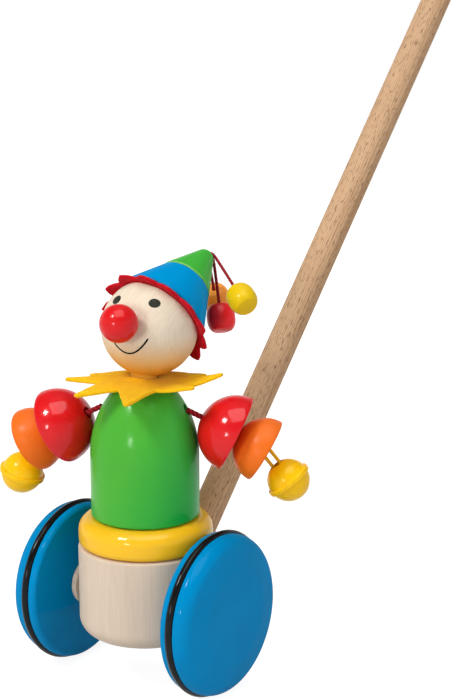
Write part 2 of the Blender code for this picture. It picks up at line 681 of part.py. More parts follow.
def make_hat():
    lip = HAT_LIP_ROUND
    top = HAT_BOTTOM + HAT_LOWER_HEIGHT
    peg_bore = HAT_PEG_RADIUS + SEAT_GAP
    peg_top = HAT_PEG_BOTTOM + HAT_PEG_LENGTH + SEAT_GAP
    socket = TIP_PEG_RADIUS + SEAT_GAP
    socket_floor = top - TIP_PEG_LENGTH - SEAT_GAP
    profile = [(socket, top), (HAT_STEP_RADIUS - lip, top), (HAT_STEP_RADIUS, top - lip)]
    profile += [(HAT_RADIUS, HAT_BOTTOM + lip), (HAT_RADIUS - lip, HAT_BOTTOM), (peg_bore, HAT_BOTTOM)]
    profile += [(peg_bore, peg_top), (0.0, peg_top)]
    profile = [(0.0, socket_floor), (socket, socket_floor)] + profile
    turned("hat", profile, "blue", FACETS_LARGE, matrix=HAT_FRAME)
    rod("hat_peg", HAT_PEG_RADIUS, HAT_PEG_BOTTOM, HAT_PEG_BOTTOM + HAT_PEG_LENGTH, PEG_END_ROUND,
        "beech", FACETS_SMALL, matrix=HAT_FRAME)


def tip_half_angle():
    """Slope of the hat tip's side, so that it runs smoothly into the round end."""
    low, high = 0.05, 1.4
    for _ in range(60):
        angle = (low + high) / 2
        side = HAT_TIP_ROUND * cos(angle) + (HAT_TIP_HEIGHT - HAT_TIP_ROUND * (1 - sin(angle))) * tan(angle)
        if side < HAT_TIP_BASE_RADIUS:
            low = angle
        else:
            high = angle
    return angle


def make_hat_tip():
    lip = HAT_LIP_ROUND
    slope = tip_half_angle()
    profile = arc(0.0, TIP_TOP - HAT_TIP_ROUND, HAT_TIP_ROUND, pi / 2, slope, 6)
    profile[0] = (0.0, TIP_TOP)
    profile += [(HAT_TIP_BASE_RADIUS, TIP_BOTTOM + lip), (HAT_TIP_BASE_RADIUS - lip, TIP_BOTTOM)]
    profile += [(TIP_PEG_RADIUS, TIP_BOTTOM), (TIP_PEG_RADIUS, TIP_BOTTOM - TIP_PEG_LENGTH)]
    profile.append((0.0, TIP_BOTTOM - TIP_PEG_LENGTH))
    tip = turned("hat_tip", profile, "green", FACETS_LARGE, matrix=HAT_FRAME)
    hole_floor = TASSEL_MOUTH - TASSEL_HOLE_DEPTH * TASSEL_DIRECTION
    outside = TASSEL_MOUTH + HAT_TIP_ROUND * TASSEL_DIRECTION
    cut(tip, round_cutter("cut_tassels", TASSEL_HOLE_RADIUS, hole_floor, outside, FACETS_SMALL))


# Tassels

def tassel_route(hole_angle, bead_place):
    """Cord from the hole in the hat's tip, over its lip and down into its bead."""
    bead = TASSEL_MOUTH + MM * Vector(bead_place)
    aside = Vector((1.0, 0.0, 0.0)) - TASSEL_DIRECTION.x * TASSEL_DIRECTION
    across = TASSEL_DIRECTION.cross(aside)
    offset = TASSEL_SPACING * (cos(hole_angle) * aside + sin(hole_angle) * across)
    start = TASSEL_MOUTH - TASSEL_ROOT * TASSEL_DIRECTION + offset
    mouth = TASSEL_MOUTH + TASSEL_LIFT * TASSEL_DIRECTION + offset
    towards = (bead - TIP_ROUND_CENTRE).normalized()
    over = HAT_TIP_ROUND + TASSEL_CORD_RADIUS + TASSEL_LIFT
    turning = (TASSEL_DIRECTION + TASSEL_BEND_SHARE * towards).normalized()
    bend = TIP_ROUND_CENTRE + over * turning + TASSEL_BEND_SHARE * offset
    down = (bead - bend).normalized()
    end = bead + (BEAD_BORE_DEPTH - BEAD_HALF_LENGTH - SEAT_GAP) * down
    return [start, mouth, bend, bead - BEAD_HALF_LENGTH * down, end], bead, down


def smooth_path(points, count):
    """Evenly spread points of a smooth curve through the given points."""
    padded = [2 * points[0] - points[1]] + points + [2 * points[-1] - points[-2]]
    dense = []
    for i in range(1, len(padded) - 2):
        before, first, second, after = padded[i - 1:i + 3]
        for step in range(24):
            t = step / 24
            dense.append(0.5 * (2 * first + (second - before) * t
                                + (2 * before - 5 * first + 4 * second - after) * t ** 2
                                + (3 * first - before - 3 * second + after) * t ** 3))
    dense.append(points[-1].copy())
    lengths = [0.0]
    for first, second in zip(dense, dense[1:]):
        lengths.append(lengths[-1] + (second - first).length)
    path = []
    index = 0
    for step in range(count + 1):
        target = lengths[-1] * step / count
        while index < len(lengths) - 2 and lengths[index + 1] < target:
            index += 1
        share = (target - lengths[index]) / (lengths[index + 1] - lengths[index])
        path.append(dense[index].lerp(dense[index + 1], share))
    return path


def bead_profile():
    """Barrel bead with flat ends and a blind bore for its cord."""
    bore = TASSEL_CORD_RADIUS + TASSEL_CORD_CLEARANCE
    floor = BEAD_HALF_LENGTH - BEAD_BORE_DEPTH
    steps = 7
    profile = [(0.0, floor), (bore, floor), (bore, BEAD_HALF_LENGTH)]
    for step in range(steps + 1):
        share = 1.0 - 2.0 * step / steps
        bulge = (1.0 - abs(share) ** 2.6) ** 0.75
        radius = BEAD_END_RADIUS + (BEAD_RADIUS - BEAD_END_RADIUS) * bulge
        profile.append((radius, share * BEAD_HALF_LENGTH))
    profile.append((0.0, -BEAD_HALF_LENGTH))
    return profile


def make_tassel(colour, hole_angle, bead_place):
    route, bead, down = tassel_route(hole_angle, bead_place)
    mouth = route[1]
    pivot = make_pivot("tassel_%s_pivot" % colour, matrix=Matrix.Translation(mouth))
    path = smooth_path([point - mouth for point in route], 16)
    tube("tassel_cord_" + colour, path, TASSEL_CORD_RADIUS, "cord", pivot)
    bead_matrix = Matrix.Translation(bead - mouth) @ along(-down)
    turned("bead_" + colour, bead_profile(), colour, FACETS_SMALL, parent=pivot, matrix=bead_matrix)


# Arms and bells

def shoulder_point(azimuth):
    """Mouth of a shoulder hole on the body's side, in the torso's frame."""
    return (BODY_RADIUS - body_curve_drop(SHOULDER_HEIGHT)) * heading(azimuth, 0.0) \
        + Vector((0.0, 0.0, SHOULDER_Z))


def half_ball_profile(radius, mouth_radius, recess_radius, recess_depth):
    """Half ball with its dome at the bottom: a cord bore, a wider mouth where the cord goes into
    the dome, and a recess in the flat face."""
    bore = ARM_CORD_RADIUS + ARM_CORD_CLEARANCE
    edge = BALL_EDGE_ROUND
    mouth = max(mouth_radius, bore)
    profile = [(radius - edge, radius)]
    profile += arc(0.0, radius, radius, -asin(edge / radius), -pi / 2 + asin(mouth / radius), 8)
    if mouth > bore:
        profile += [(mouth, CORD_MOUTH_DEPTH), (bore, CORD_MOUTH_DEPTH)]
    if recess_radius > bore:
        floor = radius - recess_depth
        profile += [(bore, floor), (recess_radius, floor), (recess_radius, radius)]
    else:
        profile.append((bore, radius))
    return profile


def bell_upper_profile():
    """Upper half shell with the flange that is pressed over the lower half."""
    inner = BELL_RADIUS - BELL_WALL
    hole = BELL_TOP_HOLE_RADIUS
    flange = BELL_FLANGE_HALF
    profile = arc(0.0, 0.0, BELL_RADIUS, pi / 2 - asin(hole / BELL_RADIUS), asin(flange / BELL_RADIUS), 5)
    profile += [(BELL_FLANGE_RADIUS, flange), (BELL_FLANGE_RADIUS, SEAT_GAP / 2), (inner, SEAT_GAP / 2)]
    profile += arc(0.0, 0.0, inner, asin(flange / inner), pi / 2 - asin(hole / inner), 4)
    return profile


def bell_lower_profile():
    """Lower half shell, up its inner side, out over its flange and down its outer side."""
    inner = BELL_RADIUS - BELL_WALL
    flange = BELL_FLANGE_HALF
    profile = arc(0.0, 0.0, inner, -pi / 2, -asin(flange / inner), 4)
    profile[0] = (0.0, -inner)
    profile += [(inner, -SEAT_GAP / 2), (BELL_FLANGE_RADIUS, -SEAT_GAP / 2), (BELL_FLANGE_RADIUS, -flange)]
    profile += arc(0.0, 0.0, BELL_RADIUS, -asin(flange / BELL_RADIUS), -pi / 2, 5)
    profile[-1] = (0.0, -BELL_RADIUS)
    return profile


def make_bell(side, hand, azimuth):
    """Bell on its wire loop. Local +Z of its pivot points from the bell up to the hand."""
    hang = heading(azimuth, -BELL_DROOP[side])
    turn = world_matrix(hand).to_3x3().inverted()
    pivot = make_pivot("bell_%s_pivot" % side, hand, Matrix.Translation((0, 0, ARM_REACH_LOWER))
                       @ along(turn @ -hang))
    centre = Matrix.Translation((0, 0, -BELL_HANG))
    turned("bell_upper_" + side, bell_upper_profile(), "bell", FACETS_SMALL, True, pivot, centre)
    lower = turned("bell_lower_" + side, bell_lower_profile(), "bell", FACETS_SMALL, False, pivot, centre)
    slot = box_cutter("cut_bell_" + side, (BELL_SLOT_WIDTH, BELL_SLOT_LENGTH, BELL_RADIUS),
                      world_matrix(lower) @ Matrix.Translation((0, 0, -BELL_RADIUS)))
    cut(lower, slot)
    make_bell_loop(side, pivot)
    pellet = arc(0.0, 0.0, PELLET_RADIUS, pi / 2, -pi / 2, 6)
    pellet[0] = (0.0, PELLET_RADIUS)
    pellet[-1] = (0.0, -PELLET_RADIUS)
    rest = -BELL_HANG - BELL_RADIUS + BELL_WALL + PELLET_RADIUS + SEAT_GAP
    offset = BELL_SLOT_WIDTH / 2 + SEAT_GAP
    turned("pellet_" + side, pellet, "steel", FACETS_PELLET, parent=pivot,
           matrix=Matrix.Translation((offset, 0, rest + SEAT_GAP)))


def make_bell_loop(side, pivot):
    """Wire bent into a U: an arch inside the hand's recess, and two legs into the bell's top."""
    half = BELL_LOOP_HALF
    foot = -BELL_HANG + BELL_RADIUS - BELL_WALL - BELL_LOOP_WIRE_RADIUS
    shoulder = BELL_LOOP_RISE - half
    points = [Vector((0, half, foot)), Vector((0, half, foot / 2))]
    for step in range(7):
        angle = pi * step / 6
        points.append(Vector((0, half * cos(angle), shoulder + half * sin(angle))))
    points += [Vector((0, -half, foot / 2)), Vector((0, -half, foot))]
    tube("bell_loop_" + side, points, BELL_LOOP_WIRE_RADIUS, "bell", pivot, resolution=1)


ARM_REACH_LOWER = SEAT_GAP + LOWER_BALL_RADIUS


def hand_cord_stop(side):
    """How far short of the hand's flat face its cord ends, just clear of the bell's loop."""
    bend = BELL_DROOP[side] - HAND_DROOP
    arch = BELL_LOOP_HALF + BELL_LOOP_WIRE_RADIUS
    return (BELL_LOOP_RISE - BELL_LOOP_HALF) * cos(bend) + arch + SEAT_GAP


def make_arm(side, torso, shoulder_azimuth):
    """Arm of two half balls. Local +Z of its pivots runs out along the arm."""
    azimuth = shoulder_azimuth + ARM_SWEEP[side]
    upper_start = ARM_CORD_FREE[side]
    upper_end = upper_start + UPPER_BALL_RADIUS
    mouth = shoulder_point(shoulder_azimuth)
    outward = heading(shoulder_azimuth, 0.0)
    arm_direction = heading(azimuth, -ARM_DROOP[side])
    hand_direction = heading(azimuth, -HAND_DROOP)
    inner_end = mouth - (SHOULDER_HOLE_DEPTH - SEAT_GAP) * outward
    stub_end = mouth - (ARM_CORD_RADIUS + SEAT_GAP) * outward
    tube("shoulder_cord_" + side, [inner_end, inner_end.lerp(stub_end, 0.5), stub_end], ARM_CORD_RADIUS,
         "cord", torso)
    shoulder = make_pivot("shoulder_%s_pivot" % side, torso, Matrix.Translation(mouth) @ along(arm_direction))
    cord_end = upper_end - SEAT_GAP
    cord_path = [Vector((0, 0, cord_end * step / 6)) for step in range(7)]
    tube("arm_cord_" + side, cord_path, ARM_CORD_RADIUS, "cord", shoulder)
    turned("upper_arm_" + side, half_ball_profile(UPPER_BALL_RADIUS, CORD_MOUTH_RADIUS, 0.0, 0.0), "red",
           FACETS_LARGE, True, shoulder, Matrix.Translation((0, 0, upper_start)))
    turn = world_matrix(shoulder).to_3x3().inverted() @ world_matrix(torso).to_3x3()
    elbow = make_pivot("elbow_%s_pivot" % side, shoulder, Matrix.Translation((0, 0, upper_end))
                       @ along(turn @ hand_direction))
    turned("lower_arm_" + side,
           half_ball_profile(LOWER_BALL_RADIUS, 0.0, LOOP_RECESS_RADIUS, LOOP_RECESS_DEPTH), "orange",
           FACETS_LARGE, True, elbow, Matrix.Translation((0, 0, SEAT_GAP)))
    hand_cord_end = ARM_REACH_LOWER - hand_cord_stop(side)
    hand_path = [Vector((0, 0, SEAT_GAP + (hand_cord_end - SEAT_GAP) * step / 4)) for step in range(5)]
    tube("hand_cord_" + side, hand_path, ARM_CORD_RADIUS, "cord", elbow)
    make_bell(side, elbow, azimuth + TORSO_TURN)


make_base()
make_stick()
make_wheel_set()
make_dowel()
torso_pivot = make_pivot("torso_pivot", matrix=Matrix.Rotation(TORSO_TURN, 4, "Z"))
make_ring(torso_pivot)
make_body(torso_pivot)
make_collar(torso_pivot)
make_head()
make_nose()
make_hair()
make_hat()
make_hat_tip()
for tassel in TASSELS:
    make_tassel(*tassel)
make_arm("right", torso_pivot, 0.0)
make_arm("left", torso_pivot, pi)
bpy.context.view_layer.update()
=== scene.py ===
"""Dressed model of the wooden clown push toy, in the frame of its solids.

Every turned piece is a fine lathe shape on the sizes of its solid, cords are twisted strands,
felt is a thin sheet with loose fibres, and each finish is made of shader nodes. Metres, +Z up,
the clown faces -Y.
"""
from math import acos, asin, atan2, cos, pi, radians, sin, sqrt, tan

import bmesh
import bpy
import numpy as np
from mathutils import Matrix, Vector


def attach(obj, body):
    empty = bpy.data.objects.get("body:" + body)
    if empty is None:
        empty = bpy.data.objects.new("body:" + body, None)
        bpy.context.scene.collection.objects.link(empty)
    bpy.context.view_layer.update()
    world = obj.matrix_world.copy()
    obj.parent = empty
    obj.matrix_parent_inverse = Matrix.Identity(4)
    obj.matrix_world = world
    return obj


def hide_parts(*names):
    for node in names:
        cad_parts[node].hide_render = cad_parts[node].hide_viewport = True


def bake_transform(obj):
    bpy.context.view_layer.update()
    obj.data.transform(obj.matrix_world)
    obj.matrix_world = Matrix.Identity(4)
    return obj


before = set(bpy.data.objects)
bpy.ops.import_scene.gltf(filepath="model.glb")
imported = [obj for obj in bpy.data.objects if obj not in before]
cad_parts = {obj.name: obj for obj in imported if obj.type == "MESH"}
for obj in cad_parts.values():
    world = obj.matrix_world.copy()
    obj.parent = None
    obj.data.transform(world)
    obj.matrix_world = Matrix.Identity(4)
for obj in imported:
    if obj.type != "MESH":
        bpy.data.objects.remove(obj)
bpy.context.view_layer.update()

MM = 0.001

# Fits
SEAT_GAP = 0.3 * MM
RUNNING_CLEARANCE = 0.4 * MM

# Base block, axle, wheels and stick
BASE_RADIUS = 31.0 * MM
BASE_HEIGHT = 42.6 * MM
BASE_FOOT_ROUND = 8.5 * MM
BASE_TOP_ROUND = 1.2 * MM
AXLE_HEIGHT = 16.3 * MM
AXLE_RADIUS = 4.0 * MM
SIDE_PLAY = 1.5 * MM
SPACER_REST_GAP = 0.2 * MM
WHEEL_RADIUS = 36.9 * MM
WHEEL_INNER_DEPTH = 5.5 * MM
WHEEL_INNER_ROUND = 2.2 * MM
WHEEL_OUTER_DEPTH = 10.6 * MM
WHEEL_SHOULDER_ROUND = 6.5 * MM
WHEEL_FACE_RADIUS = 22.0 * MM
WHEEL_BEVEL = radians(9.5)
WHEEL_CREASE = 3.0 * MM
WHEEL_BORE_DEPTH = 10.5 * MM
TYRE_CENTRE_RADIUS = 36.5 * MM
TYRE_CORD_RADIUS = 1.75 * MM
SPACER_RADIUS = 10.4 * MM
SPACER_LENGTH = 2.6 * MM
SPACER_EDGE_ROUND = 0.5 * MM
STICK_RADIUS = 7.5 * MM
STICK_LEAN = radians(43.1)
STICK_BEHIND_AXLE = 23.3 * MM
STICK_SOCKET_DEPTH = 21.0 * MM
STICK_LENGTH = 580.0 * MM
STICK_END_ROUND = 5.0 * MM

# Dowel, ring, body and collar
DOWEL_RADIUS = 6.0 * MM
DOWEL_IN_BASE = 19.0 * MM
DOWEL_IN_HEAD = 12.0 * MM
DOWEL_END_ROUND = 0.8 * MM
TORSO_TURN = radians(24.0)
RING_RADIUS = 30.8 * MM
RING_HEIGHT = 13.0 * MM
RING_TOP_ROUND = 6.2 * MM
RING_FOOT_ROUND = 3.0 * MM
RING_BORE_ROUND = 0.4 * MM
BODY_RADIUS = 24.8 * MM
BODY_HEIGHT = 62.1 * MM
BODY_STRAIGHT = 28.5 * MM
BODY_CURVE_RADIUS = 47.5 * MM
BODY_FOOT_ROUND = 1.6 * MM
BODY_TOP_ROUND = 1.6 * MM
COLLAR_THICKNESS = 1.6 * MM
COLLAR_VALLEY_RADIUS = 20.0 * MM
COLLAR_VALLEY_DROP = 2.4 * MM
COLLAR_TIP_BLUNT = 0.06
COLLAR_BEND = 1.5
COLLAR_EASE_BETWEEN_TIPS = 0.5
COLLAR_BARE_RADIUS = 16.0 * MM

# Rise at the neck, at the back and at the front
COLLAR_NECK_RISE = (0.1 * MM, 1.3 * MM)

# Tip that each half starts from
COLLAR_HALVES = {"right": 6, "left": 2}
COLLAR_FRONT = -pi / 2 - TORSO_TURN
COLLAR_FRONT_FOCUS = 4

# Each collar tip: angle, reach and lift
COLLAR_TIPS = (
    (radians(0.4), 36.5 * MM, 4.0 * MM),
    (radians(45.3), 34.0 * MM, -3.6 * MM),
    (radians(90.3), 34.0 * MM, -2.0 * MM),
    (radians(150.0), 34.0 * MM, -4.0 * MM),
    (radians(180.3), 36.5 * MM, -1.4 * MM),
    (radians(225.3), 36.0 * MM, -2.4 * MM),
    (radians(270.3), 36.0 * MM, -2.8 * MM),
    (radians(326.0), 32.5 * MM, 2.2 * MM),
)

# Head, face, hair and hat
HEAD_RADIUS = 21.8 * MM
HEAD_NECK_GAP = 2.5 * MM
HEAD_BACK = 4.0 * MM
HEAD_ASIDE = 0.6 * MM
FACE_TURN = radians(10.1)
NOSE_RADIUS = 8.55 * MM
NOSE_TURN = radians(9.5)
NOSE_TILT = radians(14.8)
NOSE_STANDOFF = 8.0 * MM
NOSE_PEG_RADIUS = 2.5 * MM
NOSE_PEG_HALF = 6.0 * MM
EYE_SPREAD = radians(35.3)
EYE_HEIGHT = radians(41.8)
EYE_HALF_WIDTH = 2.7 * MM
EYE_HALF_HEIGHT = 2.3 * MM
SMILE_LOW = radians(-20.0)
SMILE_HALF_SPREAD = radians(25.5)
SMILE_RISE = radians(20.2)
SMILE_HALF_WIDTH = 0.42 * MM
SMILE_TAPER_START = 0.96
PAINT_THICKNESS = 0.05 * MM
HAT_TURN = radians(-2.5)
HAT_TILT = radians(57.3)
HAT_SEAT_HEIGHT = 7.1 * MM
HAIR_THICKNESS = 1.6 * MM
HAIR_VALLEY_RADIUS = 23.2 * MM
HAIR_BEND = 1.3
HAIR_POINTED = 0.7

# Each hair petal: angle, reach and droop
HAIR_TIPS = (
    (radians(7.0), 29.5 * MM, 5.5 * MM),
    (radians(36.0), 27.5 * MM, 4.0 * MM),
    (radians(67.0), 26.8 * MM, 2.6 * MM),
    (radians(97.0), 26.5 * MM, 2.3 * MM),
    (radians(127.0), 26.3 * MM, 2.3 * MM),
    (radians(157.0), 26.3 * MM, 2.3 * MM),
    (radians(187.0), 26.5 * MM, 2.3 * MM),
    (radians(213.0), 26.8 * MM, 2.6 * MM),
    (radians(237.0), 27.5 * MM, 3.2 * MM),
    (radians(266.0), 27.8 * MM, 3.4 * MM),
    (radians(298.0), 30.0 * MM, 6.0 * MM),
    (radians(333.0), 30.0 * MM, 6.0 * MM),
)

HAT_RADIUS = 22.6 * MM
HAT_STEP_RADIUS = 12.9 * MM
HAT_LOWER_HEIGHT = 20.8 * MM
HAT_LIP_ROUND = 0.8 * MM
HAT_TIP_HEIGHT = 21.2 * MM
HAT_TIP_BASE_RADIUS = 13.1 * MM
HAT_TIP_ROUND = 4.7 * MM
TIP_SLOPE_RANGE = (0.05, 1.4)
TIP_SLOPE_HALVINGS = 60
HAT_PEG_RADIUS = 4.0 * MM
HAT_PEG_LENGTH = 20.0 * MM
TIP_PEG_RADIUS = 3.5 * MM
TIP_PEG_LENGTH = 7.0 * MM
TIP_PEG_ROUND = 0.3 * MM
TASSEL_HOLE_RADIUS = 2.6 * MM
TASSEL_HOLE_DEPTH = 7.0 * MM
TASSEL_HOLE_TILT = radians(22.0)

# Sides of the toy as seen in the photo
SIDE_SIGN = {"right": 1, "left": -1}

# Arms
SHOULDER_AZIMUTH = {"right": 0.0, "left": pi}
SHOULDER_HEIGHT = 50.0 * MM
SHOULDER_HOLE_RADIUS = 2.5 * MM
SHOULDER_HOLE_DEPTH = 9.0 * MM
ARM_SWEEP = {"right": radians(7.0), "left": radians(-10.0)}
ARM_DROOP = {"right": radians(26.2), "left": radians(27.7)}
HAND_DROOP = radians(30.5)
ARM_CORD_RADIUS = 1.3 * MM
ARM_CORD_CLEARANCE = 0.3 * MM
ARM_CORD_PITCH = 6.5 * MM
ARM_CORD_FREE = {"right": 7.3 * MM, "left": 7.9 * MM}
CORD_MOUTH_RADIUS = 2.8 * MM
CORD_MOUTH_DEPTH = 3.0 * MM
UPPER_BALL_RADIUS = 17.6 * MM
LOWER_BALL_RADIUS = 15.0 * MM
BALL_EDGE_ROUND = 0.8 * MM
BALL_EDGE_INSET_SHARE = 0.2
LOOP_RECESS_RADIUS = 4.6 * MM
LOOP_RECESS_DEPTH = 5.0 * MM
RECESS_FLOOR_ROUND = 0.2 * MM
RECESS_EDGE_ROUND = 0.3 * MM

# Bells
BELL_DROOP = {"right": radians(52.0), "left": radians(71.0)}
BELL_RADIUS = 9.7 * MM
BELL_WALL = 0.8 * MM
BELL_FLANGE_RADIUS = 10.7 * MM
BELL_FLANGE_HALF = 1.2 * MM
BELL_FLANGE_ROUND = 0.9 * MM
BELL_FLANGE_FILLET = 0.2 * MM
BELL_FLANGE_SPACE = 0.3 * MM
BELL_HANG = 17.0 * MM
BELL_SLOT_WIDTH = 2.4 * MM
BELL_SLOT_LENGTH = 13.0 * MM
BELL_SLOT_END_RADIUS = 1.9 * MM
BELL_LOOP_HALF = 1.9 * MM
BELL_LOOP_RISE = 3.0 * MM
BELL_LOOP_WIRE_RADIUS = 0.85 * MM
BELL_SEAM_HALF = 0.03 * MM
BELL_TOP_HOLE_RADIUS = 3.2 * MM

# The slot is cut narrower than in the solid
BELL_SLOT_OPEN_SHARE = 0.6

# Tassels
TASSEL_CORD_RADIUS = 0.75 * MM
TASSEL_CORD_CLEARANCE = 0.35 * MM
TASSEL_CORD_PITCH = 5.4 * MM
BEAD_RADIUS = 6.6 * MM
BEAD_HALF_LENGTH = 6.0 * MM
BEAD_END_RADIUS = 4.4 * MM
BEAD_BORE_DEPTH = 9.6 * MM
BEAD_LIP = 0.2 * MM
BEAD_BULGE_POWERS = (2.6, 0.75)
TASSEL_SPACING = 1.25 * MM
TASSEL_LIFT = 0.6 * MM
TASSEL_ROOT = 0.6 * MM
TASSEL_BEND_SHARE = 0.7

# Each tassel: colour, angle in the hole, and its bead's place from the hole in millimetres
TASSELS = (
    ("yellow", radians(-65.0), (27.0, -12.9, -15.0)),
    ("red", radians(55.0), (11.9, -7.8, -26.6)),
    ("orange", radians(175.0), (-5.5, 12.8, -22.9)),
)

# Fineness of the shapes
LATHE_STEPS = 112
HEAD_LATHE_STEPS = 128
SEAT_LATHE_STEPS = 96
BELL_LATHE_STEPS = 80
BELL_OUTER_STEPS = 16
BELL_INNER_STEPS = 14
NOSE_LATHE_STEPS = 80
SMALL_LATHE_STEPS = 64
HOLE_STEPS = 40
PEG_HOLE_STEPS = 32
FILLET_STEPS = 6
FILLET_LARGEST_SHARE = 0.49
CURVE_STEPS = 40
EYE_ROWS = 20
EYE_COLUMNS = 12
SMILE_ROWS = 60
SMILE_COLUMNS = (-1.0, -0.33, 0.33, 1.0)
CORD_SIDES = 24
TASSEL_CORD_STEPS = 120
ARM_CORD_STEPS = 60
ROUTE_STEPS = 24
WIRE_SIDES = 20
LOOP_LEG_STEPS = 10
LOOP_ARCH_STEPS = 20
COLLAR_STEPS_PER_TIP = 36
COLLAR_BEND_STEPS = 14
HAIR_STEPS_PER_TIP = 22
HAIR_BEND_STEPS = 8
FELT_FLAT_STEPS = 6
FELT_RIM_STEPS = 6
FELT_AREA_STEPS = 720
ON_AXIS = 1e-7
PAINT_MERGE = 1e-7
PAINT_SLIVER = 1e-8
SMOOTH_ANGLE = radians(35.0)
CUT_SMOOTH_ANGLE = radians(32.0)
WIRE_SMOOTH_ANGLE = radians(50.0)
CORD_SMOOTH_ANGLE = radians(60.0)
FELT_SMOOTH_ANGLE = radians(70.0)

# Cord strands, the cut edge of felt and its loose fibres
CORD_STRANDS = 3
STRAND_CORE_SHARE = 0.74
FELT_RAGGED = 0.22 * MM
FELT_RIPPLES = ((23.0, 0.0), (41.0, 1.0), (67.0, 2.0))
FIBRE_DENSITY = 900000.0
FIBRE_LENGTH = 1.1 * MM
FIBRE_RADIUS = 0.03 * MM
FIBRE_LEAN = Vector((1.1, 1.1, 3.1))
FIBRE_SHORTEST = 0.35
FIBRE_SIDES = 3
SCATTER_SEED = 7
LEAN_SEED = 3

# Places that follow
TRACK_HALF = BASE_RADIUS + SIDE_PLAY + SPACER_LENGTH + SEAT_GAP + WHEEL_INNER_DEPTH
SIDE_PLAY_SHIFT = SPACER_REST_GAP - SIDE_PLAY
RING_BOTTOM = BASE_HEIGHT + SEAT_GAP
BODY_BOTTOM = RING_BOTTOM + RING_HEIGHT + SEAT_GAP
BODY_TOP = BODY_BOTTOM + BODY_HEIGHT
SHOULDER_Z = BODY_BOTTOM + SHOULDER_HEIGHT
HEAD_CENTRE = Vector((HEAD_ASIDE, HEAD_BACK, BODY_TOP + HEAD_NECK_GAP + HEAD_RADIUS))
AXLE_CENTRE = Vector((SIDE_PLAY_SHIFT, 0.0, AXLE_HEIGHT))
FLOOR_Z = AXLE_HEIGHT - TYRE_CENTRE_RADIUS - TYRE_CORD_RADIUS


# Placing

def along(direction):
    """Rotation that turns local +Z to the given direction."""
    return Vector(direction).to_track_quat("Z", "Y").to_matrix().to_4x4()


def heading(azimuth, elevation):
    """Unit vector at an azimuth from +X and an elevation above the horizontal."""
    flat = cos(elevation)
    return Vector((flat * cos(azimuth), flat * sin(azimuth), sin(elevation)))


STICK_DIRECTION = Vector((0.0, sin(STICK_LEAN), cos(STICK_LEAN)))
STICK_ENTRY = (BASE_RADIUS - STICK_BEHIND_AXLE) / sin(STICK_LEAN)
STICK_LEVEL = Vector((0.0, STICK_BEHIND_AXLE, AXLE_HEIGHT))
STICK_START = STICK_LEVEL + (STICK_ENTRY - STICK_SOCKET_DEPTH) * STICK_DIRECTION
STICK_FRAME = Matrix.Translation(STICK_START) @ along(STICK_DIRECTION)
NOSE_DIRECTION = heading(-pi / 2 + NOSE_TURN, NOSE_TILT)
NOSE_REACH = HEAD_RADIUS + NOSE_STANDOFF
HAT_DIRECTION = heading(pi / 2 + HAT_TURN, pi / 2 - HAT_TILT)
HAT_FRAME = Matrix.Translation(HEAD_CENTRE) @ along(HAT_DIRECTION)
HAIR_BOTTOM = HAT_SEAT_HEIGHT + SEAT_GAP
HAIR_FLAT_RADIUS = sqrt(HEAD_RADIUS ** 2 - HAT_SEAT_HEIGHT ** 2) + SEAT_GAP
HAT_BOTTOM = HAIR_BOTTOM + HAIR_THICKNESS + SEAT_GAP
TIP_BOTTOM = HAT_BOTTOM + HAT_LOWER_HEIGHT + SEAT_GAP
TIP_TOP = TIP_BOTTOM + HAT_TIP_HEIGHT
HAT_PEG_BOTTOM = HAT_SEAT_HEIGHT - HAT_PEG_LENGTH / 2
TIP_ROUND_CENTRE = HEAD_CENTRE + (TIP_TOP - HAT_TIP_ROUND) * HAT_DIRECTION
TASSEL_DIRECTION = heading(pi / 2 + HAT_TURN, pi / 2 - HAT_TILT - TASSEL_HOLE_TILT)
TASSEL_MOUTH = TIP_ROUND_CENTRE + HAT_TIP_ROUND * TASSEL_DIRECTION
TORSO_FRAME = Matrix.Rotation(TORSO_TURN, 4, "Z")


# Camera and light

CAMERA_AZIMUTH = radians(37.35)
CAMERA_DISTANCE = 796.3 * MM
CAMERA_ABOVE_AXLE = 303.6 * MM
CAMERA_YAW = radians(-2.69)
CAMERA_PITCH = radians(13.23)
CAMERA_ROLL = radians(-0.14)
FOCAL_PIXELS = 1823.65
PICTURE_HEIGHT = 700
SENSOR = 36.0
SHIFT_PIXELS = 1.3
CLIP_START = 0.01
CLIP_END = 50.0


def make_camera():
    heading_angle = CAMERA_AZIMUTH + CAMERA_YAW
    forward = Vector((-sin(heading_angle) * cos(CAMERA_PITCH), cos(heading_angle) * cos(CAMERA_PITCH),
                      -sin(CAMERA_PITCH)))
    level = Vector((cos(heading_angle), sin(heading_angle), 0.0))
    upright = level.cross(forward)
    right = cos(CAMERA_ROLL) * level + sin(CAMERA_ROLL) * upright
    up = -sin(CAMERA_ROLL) * level + cos(CAMERA_ROLL) * upright
    place = Vector((sin(CAMERA_AZIMUTH) * CAMERA_DISTANCE, -cos(CAMERA_AZIMUTH) * CAMERA_DISTANCE,
                    AXLE_HEIGHT + CAMERA_ABOVE_AXLE))
    lens = bpy.data.cameras.new("camera")
    lens.sensor_fit = "VERTICAL"
    lens.sensor_height = SENSOR
    lens.lens = FOCAL_PIXELS * SENSOR / PICTURE_HEIGHT
    lens.shift_x = -SHIFT_PIXELS / PICTURE_HEIGHT
    lens.clip_start = CLIP_START
    lens.clip_end = CLIP_END
    camera = bpy.data.objects.new("camera", lens)
    turn = Matrix((right, up, -forward)).transposed().to_4x4()
    camera.matrix_world = Matrix.Translation(place) @ turn
    bpy.context.scene.collection.objects.link(camera)
    bpy.context.scene.camera = camera
    return level, Vector((level.y, -level.x, 0.0))


VIEW_RIGHT, VIEW_NEAR = make_camera()
LIGHT_AIM = Vector((0.0, 0.0, 0.09))

